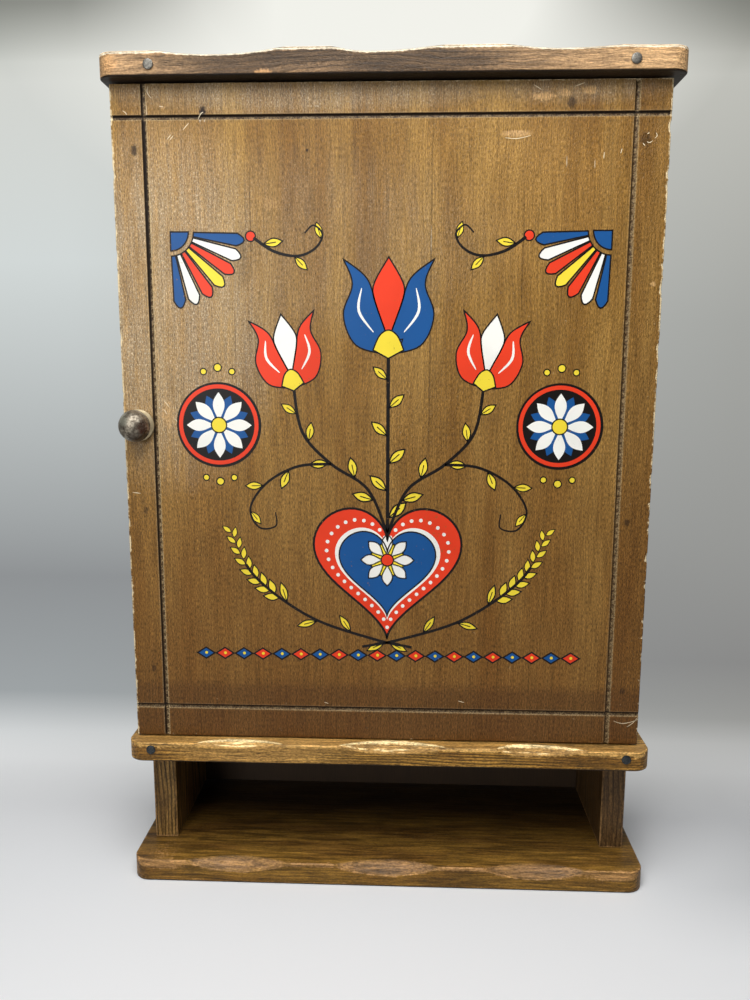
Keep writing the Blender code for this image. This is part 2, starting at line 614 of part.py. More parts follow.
def build_hinges(axis, sides, stiles, brass, screw, screw_hole):
    """Two butt hinges on the right: case leaf, door leaf, pin and four screws each."""
    half = HINGE_LENGTH / 2
    pin_profile = [(0.0, -half), (HINGE_PIN_RADIUS, -half), (HINGE_PIN_RADIUS, half + SEAT_GAP),
                   (HINGE_PIN_HEAD_RADIUS, half + SEAT_GAP),
                   (HINGE_PIN_HEAD_RADIUS, half + SEAT_GAP + HINGE_PIN_HEAD_HEIGHT / 2),
                   (HINGE_PIN_RADIUS, half + SEAT_GAP + HINGE_PIN_HEAD_HEIGHT),
                   (0.0, half + SEAT_GAP + HINGE_PIN_HEAD_HEIGHT)]
    pin = turned_mesh("hinge_pin", pin_profile, BARREL_SIDES)
    case_mesh = drawn_mesh("case_leaf", leaf_outline(1), -half, half, up_z)
    door_mesh = drawn_mesh("door_leaf", leaf_outline(-1), -half, half, up_z)
    for end, height in (("lower", DOOR_BOTTOM + HINGE_INSET), ("upper", DOOR_TOP - HINGE_INSET)):
        middle = (HINGE_X, HINGE_Y, height)
        case_leaf = place(f"{end}_hinge_case_leaf", case_mesh, brass, middle)
        cut_knuckles(case_leaf, height, 1)
        door_leaf = place(f"{end}_hinge_door_leaf", door_mesh, brass, middle, parent=axis)
        cut_knuckles(door_leaf, height, 0, axis)
        place(f"{end}_hinge_pin", pin, brass, middle)
        for level, rise in (("low", -HINGE_SCREW_SPACING / 2), ("high", HINGE_SCREW_SPACING / 2)):
            at = (SIDE_MIDDLE, CASE_LEAF_FACE, height + rise)
            place(f"{end}_hinge_case_screw_{level}", screw, brass, at, TO_FRONT)
            cutter = place_cutter(screw_hole, at, TO_FRONT)
            cut(case_leaf, cutter)
            cut(sides["upper_side_right"], cutter)
            at = (SIDE_MIDDLE, DOOR_LEAF_FACE, height + rise)
            place(f"{end}_hinge_door_screw_{level}", screw, brass, at, TO_REAR, axis)
            cutter = place_cutter(screw_hole, at, TO_REAR, axis)
            cut(door_leaf, cutter)
            cut(stiles["right"], cutter)


def build_catch(axis, sides, stiles, steel, magnet_finish, screw, screw_hole):
    """A magnetic catch on the left side's inner face, and its strike plate on the door."""
    inner = -SIDE_INNER + SEAT_GAP
    flange = inner + CATCH_FLANGE_THICKNESS
    face = inner + CATCH_BODY_THICKNESS
    flange_half = CATCH_FLANGE_LENGTH / 2
    body_half = CATCH_BODY_LENGTH / 2
    outline = [(inner, CATCH_Z - flange_half), (flange, CATCH_Z - flange_half), (flange, CATCH_Z - body_half),
               (face, CATCH_Z - body_half), (face, CATCH_Z + body_half), (flange, CATCH_Z + body_half),
               (flange, CATCH_Z + flange_half), (inner, CATCH_Z + flange_half)]
    rear = CATCH_FRONT + CATCH_BODY_DEPTH
    housing = place("catch_housing", drawn_mesh("catch_housing", outline, CATCH_FRONT, rear, along_y), steel)
    low = Vector((MAGNET_X - MAGNET_THICKNESS / 2, MAGNET_FRONT, CATCH_Z - MAGNET_LENGTH / 2))
    high = Vector((MAGNET_X + MAGNET_THICKNESS / 2, MAGNET_FRONT + MAGNET_DEPTH, CATCH_Z + MAGNET_LENGTH / 2))
    block("catch_magnet", low, high, magnet_finish)
    gap = Vector((SEAT_GAP, SEAT_GAP, SEAT_GAP))
    cut(housing, cutting_block("magnet_pocket", low - gap - Vector((0, OVERRUN, 0)), high + gap))

    strike_low = (MAGNET_X - STRIKE_WIDTH / 2, DOOR_REAR + SEAT_GAP, CATCH_Z - STRIKE_LENGTH / 2)
    strike_high = (MAGNET_X + STRIKE_WIDTH / 2, STRIKE_FACE, CATCH_Z + STRIKE_LENGTH / 2)
    strike = block("catch_strike", strike_low, strike_high, steel, parent=axis)
    at = (MAGNET_X, STRIKE_FACE, CATCH_Z)
    place("catch_strike_screw", screw, steel, at, TO_REAR, axis)
    cutter = place_cutter(screw_hole, at, TO_REAR, axis)
    cut(strike, cutter)
    cut(stiles["left"], cutter)

    for level, hand in (("low", -1), ("high", 1)):
        at = (flange, CATCH_FRONT + CATCH_BODY_DEPTH / 2, CATCH_Z + hand * (flange_half + body_half) / 2)
        place(f"catch_screw_{level}", screw, steel, at, TO_RIGHT)
        cutter = place_cutter(screw_hole, at, TO_RIGHT)
        cut(housing, cutter)
        cut(sides["upper_side_left"], cutter)


def build_hangers(sides, steel, screw, screw_hole):
    """A keyhole plate let into the rear edge of each upper side, with a pocket behind its keyhole."""
    plate = drawn_mesh("hanger", stadium(HANGER_WIDTH, HANGER_LENGTH), -HANGER_THICKNESS, 0.0, along_y)
    recess = drawn_mesh("hanger_recess", stadium(HANGER_WIDTH, HANGER_LENGTH, SEAT_GAP),
                        -HANGER_THICKNESS - SEAT_GAP, OVERRUN, along_y)
    hole = drawn_mesh("keyhole", keyhole(), -HANGER_THICKNESS - OVERRUN, OVERRUN, along_y)
    pocket_width = 2 * KEYHOLE_RADIUS
    pocket_length = pocket_width + KEYHOLE_SLOT_LENGTH
    pocket = drawn_mesh("hanger_pocket", stadium(pocket_width, pocket_length),
                        -KEYHOLE_POCKET_DEPTH, OVERRUN, along_y)
    for side, hand in (("left", -1), ("right", 1)):
        at = Vector((hand * HANGER_X, REAR, HANGER_Z))
        name = "hanger_plate_" + side
        hanger = place(name, plate.copy(), steel, at)
        cut(hanger, place_cutter(hole, at - Vector((0, 0, KEYHOLE_SLOT_LENGTH / 2))))
        wall = sides["upper_side_" + side]
        cut(wall, place_cutter(recess, at))
        cut(wall, place_cutter(pocket, at))
        for level, rise in (("low", -HANGER_SCREW_SPACING / 2), ("high", HANGER_SCREW_SPACING / 2)):
            screw_at = at + Vector((0, 0, rise))
            place(f"hanger_screw_{side}_{level}", screw, steel, screw_at, TO_REAR)
            cutter = place_cutter(screw_hole, screw_at, TO_REAR)
            cut(hanger, cutter)
            cut(wall, cutter)


def main():
    clear_scene()
    pine = make_finish("stained_pine", (0.27, 0.14, 0.06), 0.5)
    plywood = make_finish("stained_plywood", (0.30, 0.17, 0.07), 0.42)
    backing = make_finish("backing_plywood", (0.42, 0.28, 0.15), 0.6)
    bronze = make_finish("antique_bronze", (0.10, 0.08, 0.06), 0.38, 1.0)
    zinc = make_finish("grey_zinc", (0.32, 0.34, 0.34), 0.45, 1.0)
    brass = make_finish("plated_brass", (0.50, 0.36, 0.16), 0.35, 1.0)
    steel = make_finish("bright_steel", (0.50, 0.50, 0.50), 0.35, 1.0)
    magnet = make_finish("dark_ferrite", (0.05, 0.05, 0.055), 0.6)

    hinge_axis = bpy.data.objects.new("door_hinge_axis", None)
    bpy.context.scene.collection.objects.link(hinge_axis)
    hinge_axis.location = (HINGE_X, HINGE_Y, 0)

    brass_screw = turned_mesh("brass_screw", screw_profile(), FASTENER_SIDES)
    steel_screw = turned_mesh("steel_screw", screw_profile(), FASTENER_SIDES)
    screw_hole = turned_mesh("small_screw_hole", screw_profile(SEAT_GAP, OVERRUN), FASTENER_SIDES)
    boards = build_boards(pine, zinc)
    sides = build_sides(boards, pine, steel)
    build_backs(backing)
    build_shelves(sides, pine)
    panel, stiles = build_door(hinge_axis, plywood, pine)
    build_knob(hinge_axis, panel, stiles["left"], bronze, steel)
    build_hinges(hinge_axis, sides, stiles, brass, brass_screw, screw_hole)
    build_catch(hinge_axis, sides, stiles, steel, magnet, steel_screw, screw_hole)
    build_hangers(sides, steel, steel_screw, screw_hole)
    bpy.context.view_layer.update()


main()
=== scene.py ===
"""Looks of an old wall cabinet: gouged pine boards, a grooved plywood door with a folk print."""

from math import cos, log, pi, radians, sin, sqrt

import bmesh
import bpy
import numpy as np
from mathutils import Matrix, Vector
from mathutils.geometry import tessellate_polygon


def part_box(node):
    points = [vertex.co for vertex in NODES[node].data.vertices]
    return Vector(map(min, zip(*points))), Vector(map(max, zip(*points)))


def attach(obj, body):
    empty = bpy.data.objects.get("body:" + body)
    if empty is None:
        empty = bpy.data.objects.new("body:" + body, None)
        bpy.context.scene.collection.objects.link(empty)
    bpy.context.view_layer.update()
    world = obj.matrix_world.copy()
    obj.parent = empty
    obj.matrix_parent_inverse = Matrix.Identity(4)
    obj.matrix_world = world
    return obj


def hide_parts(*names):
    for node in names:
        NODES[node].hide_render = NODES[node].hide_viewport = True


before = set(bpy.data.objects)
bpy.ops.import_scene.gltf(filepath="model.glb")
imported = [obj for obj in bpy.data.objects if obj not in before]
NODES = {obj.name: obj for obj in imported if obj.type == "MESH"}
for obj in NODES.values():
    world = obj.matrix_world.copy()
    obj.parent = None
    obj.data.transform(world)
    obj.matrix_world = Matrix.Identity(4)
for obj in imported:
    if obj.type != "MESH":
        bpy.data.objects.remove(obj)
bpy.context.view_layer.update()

MM = 0.001

# The boards' front face and the door's place, read from the frame
BOARD_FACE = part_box("top_board")[0].y
DOOR_LOW, DOOR_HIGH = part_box("door_panel")
DOOR_FACE = DOOR_LOW.y

# Rounding of the boards' corners and arrises, as in the solids
CORNER_RADIUS = 12 * MM
EASING = 1.4 * MM

# Sizes of the door's grooves and edge, as in the solids, but the grooves show 0.6 of their depth
SIDE_GROOVE_INSET = 22.8 * MM
TOP_GROOVE_INSET = 21.6 * MM
BOTTOM_GROOVE_INSET = 23.2 * MM
GROOVE_WIDTH = 3.2 * MM
GROOVE_SHOWN = 2.4 * MM * 0.6
PANEL_EASING = 0.9 * MM

# The print's inks, in the order that they went on, and how far each one is out of register, in millimetres
INKS = {"white": "#f7f5ec", "yellow": "#f6dc3e", "red": "#ea4022", "blue": "#185391", "black": "#120d0b"}
OUT_OF_REGISTER = ((0.15, -0.1), (0.25, 0.15), (-0.2, 0.2), (0.2, 0.1), (0, 0))
FILM_ROOT = 0.02 * MM
FILM_START = 0.03 * MM
FILM_LAYER = 0.012 * MM
OUTLINE_LAYER = 7

# The varnish's shine, and how deep a soft patch reaches on either side of the front face, in millimetres
VARNISH_SHINE = 0.22
PATCH_DEPTH = 60

# The chisel's chatter in the gouges: its depth, its pitch and how uneven the cut is
CHATTER_DEPTH = 0.16 * MM
CHATTER_PITCH = 4.2 * MM
CHATTER_UNEVENNESS = 0.12

# The gouges' inputs, and the weights on a board's points: how the tool moves them, where wear and painted
# highlights lie
GOUGE_ORDER = ("First", "Second", "Third")
GOUGE_FIELDS = ("Place", "Left Reach", "Right Reach", "Depth")
BOARD_WEIGHTS = ("fall", "back", "facet", "arris", "upper", "brow", "lead")

# Fixed seeds for the door's chips and the way that each screw's slot points
CHIP_SEED = 41
SLOT_SEED = 12

# How close together the mesh lines of the boards and of the door stand
BOARD_PITCH = 1.3 * MM
DOOR_PITCH_ACROSS = 5 * MM
DOOR_PITCH_UP = 1.5 * MM

# The knob as the photograph shows it, a little smaller than its solid
KNOB_RADIUS = 11.4 * MM
KNOB_RIM_RADIUS = 10.7 * MM
KNOB_BROW = 11 * MM

# The paper: how far it reaches, how high it hangs, where its sweep starts and that bend's radius
PAPER_REACH = 1.6
PAPER_HEIGHT = 1.9
SWEEP_START = 0.24
SWEEP_RADIUS = 0.2

# The length of the sweep that the camera sees, in millimetres, and its shade up its left and right sides
SWEEP_LENGTH = 1260
SWEEP_SHADES = (((0.1, "#e7e9e9"), (0.23, "#9ea3a5"), (0.42, "#8f9294"), (0.76, "#d2d8d7"), (0.93, "#d3d5d0"),
                 (0.999, "#b6b9b1")),
                ((0.1, "#c5c5c3"), (0.2, "#989895"), (0.3, "#8a8a89"), (0.7, "#a5a6a2"), (0.93, "#bfbfb8"),
                 (0.999, "#8b8b82")))

# The camera that fits the photograph: its lens, its place in metres, and its pitch, yaw and roll in radians
LENS_MM = 29.825
CAMERA_PLACE = (0.014424, -0.633504, 0.385710)
CAMERA_TURN = (-0.15932, 0.04028, -0.00274)

# Scratches in the varnish: points across and up the door's face, in millimetres
SCRATCHES = (
    ((-178.2, 554), (-176.5, 552.8), (-175.4, 551.4)), ((-160.4, 569), (-161.2, 565.5), (-158.6, 561.5)),
    ((-153.6, 556.6), (-150.6, 556.2)), ((-148.8, 535.6), (-146.2, 538.6)), ((-147.2, 535), (-144.6, 538)),
    ((-138, 541.5), (-133.8, 546)), ((-127.5, 548), (-125.6, 551.6), (-123.9, 552.6)),
    ((174.2, 537.4), (175, 535.4), (173.6, 533.8)), ((172.4, 532.4), (170.4, 531.2), (168.6, 531.9)),
    ((168.6, 536.6), (170, 537.4)), ((166, 531), (167.6, 529.2)), ((141.4, 525.6), (141, 521.4)),
    ((152.8, 527.6), (152, 524.6)), ((-183, 296.5), (-177, 295.8)),
    ((-157.6, 362), (-154, 357.4)), ((-158, 356), (-155.6, 352.2)), ((-150.4, 349.6), (-146, 344)),
    ((166, 130.4), (172, 128.6), (178, 129.6), (184, 132)),
    ((176, 126), (180, 129), (183.6, 133.6)),
    ((52.6, 143.6), (57, 142.4)), ((-46, 140.6), (-43, 139.8)), ((94, 567.5), (99, 564.5)),
    ((121, 566.5), (127, 568.5)), ((76, 535), (84, 534.4), (93, 536.2)))


def linear(code):
    """An sRGB hex colour as linear RGBA."""
    parts = [int(code[index:index + 2], 16) / 255 for index in (1, 3, 5)]
    return (*[part / 12.92 if part <= 0.04045 else ((part + 0.055) / 1.055) ** 2.4 for part in parts], 1)


def feed(tree, socket, value):
    """Links an output into a socket, or sets the socket; a hex colour is made linear."""
    if isinstance(value, bpy.types.NodeSocket):
        tree.links.new(value, socket)
    else:
        socket.default_value = linear(value) if str(value).startswith("#") else value


def add(tree, kind, *values, give=None, **settings):
    """Adds a node, sets it and feeds its inputs in turn, or by name from a table; gives one of its outputs.

    A second word in its kind is its operation or its kind of data. Without give, its first output is given.
    """
    kind, _, choice = kind.partition(" ")
    node = tree.nodes.new(kind if "Node" in kind else "ShaderNode" + kind)
    if choice:
        settings["operation" if hasattr(node, "operation") else "data_type"] = choice
    for name, value in settings.items():
        setattr(node, name, value)
    sockets = [item for item in node.inputs if item.enabled]
    if values and isinstance(values[0], dict):
        named = values[0]
        sockets = [next(item for item in sockets if item.name == name) for name in named]
        values = named.values()
    for socket, value in zip(sockets, values):
        feed(tree, socket, value)
    found = [item for item in node.outputs if item.enabled and give in (None, item.name)]
    return found[0] if found else node


def start_material(name):
    """A named material, its empty tree and its object coordinates in millimetres."""
    material = bpy.data.materials.new(name)
    material.use_nodes = True
    tree = material.node_tree
    tree.nodes.clear()
    place = add(tree, "TexCoord", give="Object")
    return material, tree, add(tree, "VectorMath SCALE", place, 1 / MM)


def finish_material(material, looks, height, strength, depth):
    """Ends a material with a shader of the given looks and a relief, its depth in millimetres."""
    tree = material.node_tree
    relief = add(tree, "Bump", {"Height": height, "Strength": strength, "Distance": depth * MM})
    add(tree, "OutputMaterial", add(tree, "BsdfPrincipled", {**looks, "Normal": relief}))
    return material


def figure(tree, place, size, detail=2, rough=0.5, give=None):
    """Noise drawn out to a size in millimetres along each axis, such as a wood's fibres, flecks or bands."""
    drawn_out = add(tree, "VectorMath MULTIPLY", place, [1 / length for length in size])
    return add(tree, "TexNoise", drawn_out, 1, detail, rough, give=give)


def set_stops(ramp, stops):
    """Gives a ramp its stops, each with its place and its colour."""
    elements = ramp.node.color_ramp.elements
    for position, colour in stops:
        elements.new(position).color = colour
    elements.remove(elements[-1])
    elements.remove(elements[0])


def start_group(name, family, inputs, outputs):
    """A node group and its inputs by name, each a number or a kind of socket; its outputs have kinds only."""
    group = bpy.data.node_groups.new(name, family + "NodeTree")
    for label, value in inputs.items():
        kind = value if isinstance(value, str) else "Float"
        socket = group.interface.new_socket(label, in_out="INPUT", socket_type="NodeSocket" + kind)
        if kind == "Float":
            socket.default_value = value
    for label, kind in outputs.items():
        group.interface.new_socket(label, in_out="OUTPUT", socket_type="NodeSocket" + kind)
    entry = group.nodes.new("NodeGroupInput")
    return group, {item.name: item for item in entry.outputs if item.name}


def make_grain_group():
    """Sawn wood with its grain along X: growth rings round a pith, fibres, stain-filled flecks and clouds."""
    group, given = start_group(
        "sawn_grain", "Shader",
        {"Place": "Vector", "Ring Pitch": 2.6, "Ring Wander": 12, "Fibre Width": 0.85, "Fibre Length": 13},
        dict.fromkeys(("Late Wood", "Fibre", "Fleck", "Cloud", "Grit", "Comb"), "Float"))
    wander = figure(group, given["Place"], (150, 34, 34), 2.5, give="Color")
    swing = add(group, "VectorMath SUBTRACT", wander, (0.5, 0.5, 0.5))
    swing = add(group, "VectorMath SCALE", swing, given["Ring Wander"])
    moved = add(group, "VectorMath ADD", given["Place"], swing)
    across = add(group, "VectorMath MULTIPLY", moved, (0, 1, 1))
    radius = add(group, "VectorMath LENGTH", across, give="Value")
    turns = add(group, "Math DIVIDE", radius, given["Ring Pitch"])
    part = add(group, "Math FRACT", turns)
    ramp = add(group, "ValToRGB", {"Fac": part})
    ramp.node.color_ramp.interpolation = "EASE"
    set_stops(ramp, [(position, (shade, shade, shade, 1)) for position, shade in
                     ((0, 0.25), (0.12, 0), (0.5, 0.12), (0.84, 1), (1, 0.3))])

    # Real fibres are a tenth of a millimetre wide or less, so they are drawn as wide as they need to show
    along = add(group, "Math DIVIDE", 1, given["Fibre Length"])
    wide = add(group, "Math DIVIDE", 1, given["Fibre Width"])
    fine_scale = add(group, "CombineXYZ", {"X": along, "Y": wide, "Z": wide})
    fine = add(group, "VectorMath MULTIPLY", moved, fine_scale)
    fibre = add(group, "TexNoise", fine, 1, 2.5, 0.6)
    fleck = add(group, "MapRange", figure(group, moved, (5.5, 0.75, 0.75), 1.5), 0.54, 0.68)
    add(group, "NodeGroupOutput", {"Late Wood": ramp, "Fibre": fibre, "Fleck": fleck,
                                   "Cloud": figure(group, moved, (65, 16, 16)),
                                   "Grit": figure(group, moved, (1.7, 0.9, 0.9), 1),
                                   "Comb": figure(group, moved, (42, 2.7, 2.4), 3, 0.65)})
    return group


def make_arris_group():
    """How near a point on a squared piece lies to the piece's nearest arris, from 0 to 1."""
    group, given = start_group("near_arris", "Shader", {"Place": "Vector", "Low": "Vector", "High": "Vector",
                                                        "Reach": 2}, {"Nearness": "Float"})
    above = add(group, "VectorMath SUBTRACT", given["Place"], given["Low"])
    below = add(group, "VectorMath SUBTRACT", given["High"], given["Place"])
    near = add(group, "VectorMath MINIMUM", above, below)
    x, y, z = add(group, "SeparateXYZ", near).node.outputs
    low_pair = add(group, "Math MINIMUM", x, y)
    high_pair = add(group, "Math MAXIMUM", x, y)
    outer = add(group, "Math MINIMUM", high_pair, z)
    middle = add(group, "Math MAXIMUM", low_pair, outer)
    share = add(group, "Math DIVIDE", middle, given["Reach"])
    nearness = add(group, "Math SUBTRACT", 1, share, use_clamp=True)
    add(group, "NodeGroupOutput", {"Nearness": nearness})
    return group


def make_soft_spot_group():
    """A soft ragged patch round a place on an object, such as a stain, a scrape or a filled nail hole."""
    group, given = start_group("soft_spot", "Shader", {"Place": "Vector", "Centre": "Vector",
                                                       "Radii": "Vector", "Ragged": 0.5, "Strength": 1},
                               {"Mask": "Float"})
    run = add(group, "VectorMath SUBTRACT", given["Place"], given["Centre"])
    run = add(group, "VectorMath DIVIDE", run, given["Radii"])
    far = add(group, "VectorMath LENGTH", run, give="Value")
    torn = add(group, "TexNoise", given["Place"], 1 / 1.6, 3)
    torn = add(group, "Math SUBTRACT", torn, 0.5)
    far = add(group, "Math MULTIPLY_ADD", torn, given["Ragged"], far)
    mask = add(group, "MapRange", far, 1, 0.55)
    mask = add(group, "Math MULTIPLY", mask, given["Strength"])
    add(group, "NodeGroupOutput", {"Mask": mask})
    return group


SAWN_GRAIN = make_grain_group()
NEAR_ARRIS = make_arris_group()
SOFT_SPOT = make_soft_spot_group()
GRAIN_TURNS = {"X": (0, 0, 0), "Z": (0, pi / 2, 0)}


def spots(tree, place, rows):
    """The strongest of some soft patches, each given by its place and half sizes across and up in mm."""
    strongest = None
    for across, up, half_width, half_height, strength, ragged in rows:
        mask = add(tree, "Group", {"Place": place, "Centre": (across, -PATCH_DEPTH, up), "Strength": strength,
                                   "Radii": (half_width, PATCH_DEPTH, half_height), "Ragged": ragged},
                   node_tree=SOFT_SPOT)
        strongest = mask if strongest is None else add(tree, "Math MAXIMUM", strongest, mask)
    return strongest


def make_stained_pine(name, light, dark, stain, worn, pith, grain="X", ring_pitch=2.6, ring_wander=12,
                      box=None, wear_share=0.6, blond=None, facet=None, facet_share=0, scrapes=(), painted_depth_shade=None,
                      rings=0.8, bruises=(), pitting=0.5, rim=None, highlight_on_every_crest=True, fibre=(0.85, 13),
                      swing=0.4, combed=0.2):
    """Stained and varnished pine: dark latewood lines, stain-filled flecks, blond rubbed arrises."""
    # Its colour also carries painted highlights on the crests, and painted shade on faces that look down and
    # deeper in
    material, tree, place = start_material(name)
    turned = add(tree, "Mapping", {"Vector": place, "Location": pith, "Rotation": GRAIN_TURNS[grain]})
    wood = add(tree, "Group", {"Place": turned, "Ring Pitch": ring_pitch, "Ring Wander": ring_wander,
                               "Fibre Width": fibre[0], "Fibre Length": fibre[1]}, node_tree=SAWN_GRAIN).node

    late = add(tree, "Math MULTIPLY", wood.outputs["Late Wood"], rings)
    colour = add(tree, "Mix RGBA", late, light, dark)
    patch = add(tree, "MapRange", wood.outputs["Cloud"], 0.4, 0.64, 0, 0.8)
    colour = add(tree, "Mix RGBA", patch, colour, stain)
    if bruises:
        colour = add(tree, "Mix RGBA", spots(tree, place, bruises), colour, dark)
    if blond:
        tone, left_from, left_to, right_from, right_to = blond
        across = add(tree, "SeparateXYZ", place, give="X")
        left = add(tree, "MapRange", across, left_from, left_to)
        right = add(tree, "MapRange", across, right_from, right_to)
        ends = add(tree, "Math MAXIMUM", left, right)
        streaky = add(tree, "MapRange", wood.outputs["Fibre"], 0.34, 0.6, 0.55)
        ends = add(tree, "Math MULTIPLY", ends, streaky)
        ends = add(tree, "Math MULTIPLY", ends, 0.85)
        colour = add(tree, "Mix RGBA", ends, colour, tone)

    if box:
        low, high = [[value / MM for value in corner] for corner in box]
        rubbed = add(tree, "Group", {"Place": place, "Low": low, "High": high}, node_tree=NEAR_ARRIS)
    else:
        rubbed = add(tree, "Attribute", give="Fac", attribute_name="wear")
        hewn = add(tree, "Attribute", give="Fac", attribute_name="hewn")
        torn = figure(tree, place, (9, 1.6, 1.6), 3)
        pale = add(tree, "MapRange", torn, 0.3, 0.7, facet_share * 0.7, min(1, facet_share * 1.3))
        pale = add(tree, "Math MULTIPLY", pale, hewn)
        colour = add(tree, "Mix RGBA", pale, colour, facet)
    bite = add(tree, "TexNoise", place, 1 / 3.4, 4, 0.65)
    bite = add(tree, "MapRange", bite, 0.3, 0.7, -0.45, 0.45)
    rub = add(tree, "Math ADD", rubbed, bite)
    rub = add(tree, "MapRange", rub, 0.32, 0.85, 0, wear_share)
    if scrapes:
        rub = add(tree, "Math MAXIMUM", rub, spots(tree, place, scrapes))
    colour = add(tree, "Mix RGBA", rub, colour, worn)
    facing = add(tree, "SeparateXYZ", add(tree, "NewGeometry", give="Normal"), give="Z")
    # Painted highlight: the rim colour along the crests; the middle board has it along its facets' upper
    # edges,
    # with painted glints on the facets and painted light on faces that look up
    if rim:
        crest = add(tree, "Attribute", give="Fac", attribute_name="crest" if highlight_on_every_crest else "peak")
        if not highlight_on_every_crest:
            gleam = add(tree, "MapRange", wood.outputs["Comb"], 0.52, 0.64, 0, 0.85)
            gleam = add(tree, "Math MULTIPLY", gleam, hewn)
            painted_top_light = add(tree, "MapRange", facing, 0.3, 0.8, 0, 0.5)
            colour = add(tree, "Mix RGBA", painted_top_light, colour, facet)
            crest = add(tree, "Math MAXIMUM", crest, gleam)
        crest = add(tree, "Math MULTIPLY_ADD", bite, 0.55, crest)
        crest = add(tree, "MapRange", crest, 0.35, 0.7, 0, 0.9)
        colour = add(tree, "Mix RGBA", crest, colour, rim)
    pits = add(tree, "Math MULTIPLY", wood.outputs["Fleck"], pitting)
    colour = add(tree, "Mix RGBA", pits, colour, "#21170b")
    # Painted shade: faces that look down are darkened nearly to black
    under = add(tree, "MapRange", facing, -0.08, -0.4, 0, 0.94)
    colour = add(tree, "Mix RGBA", under, colour, "#140d07")
    # Painted shade: darker the deeper back the face lies
    if painted_depth_shade:
        tone, depth_shade_from, depth_shade_to = painted_depth_shade
        deep = add(tree, "SeparateXYZ", place, give="Y")
        deep = add(tree, "MapRange", deep, depth_shade_from, depth_shade_to, 0, 0.9)
        colour = add(tree, "Mix RGBA", deep, colour, tone)
    for label, low, high, reach in (("Fibre", 0.32, 0.68, swing), ("Grit", 0.3, 0.7, swing * 0.75),
                                    ("Comb", 0.38, 0.62, combed)):
        lift = add(tree, "MapRange", wood.outputs[label], low, high, 1 - reach, 1 + reach)
        colour = add(tree, "VectorMath SCALE", colour, lift)

    sheen = add(tree, "MapRange", wood.outputs["Fibre"], 0.3, 0.7, 0.35, 0.54)
    height = wood.outputs["Fibre"]
    for label, rise in (("Fleck", -0.8), ("Late Wood", 0.35), ("Grit", 0.8)):
        height = add(tree, "Math MULTIPLY_ADD", wood.outputs[label], rise, height)
    return finish_material(material, {"Base Color": colour, "Roughness": sheen,
                                      "Specular IOR Level": VARNISH_SHINE}, height, 0.7, 0.2)


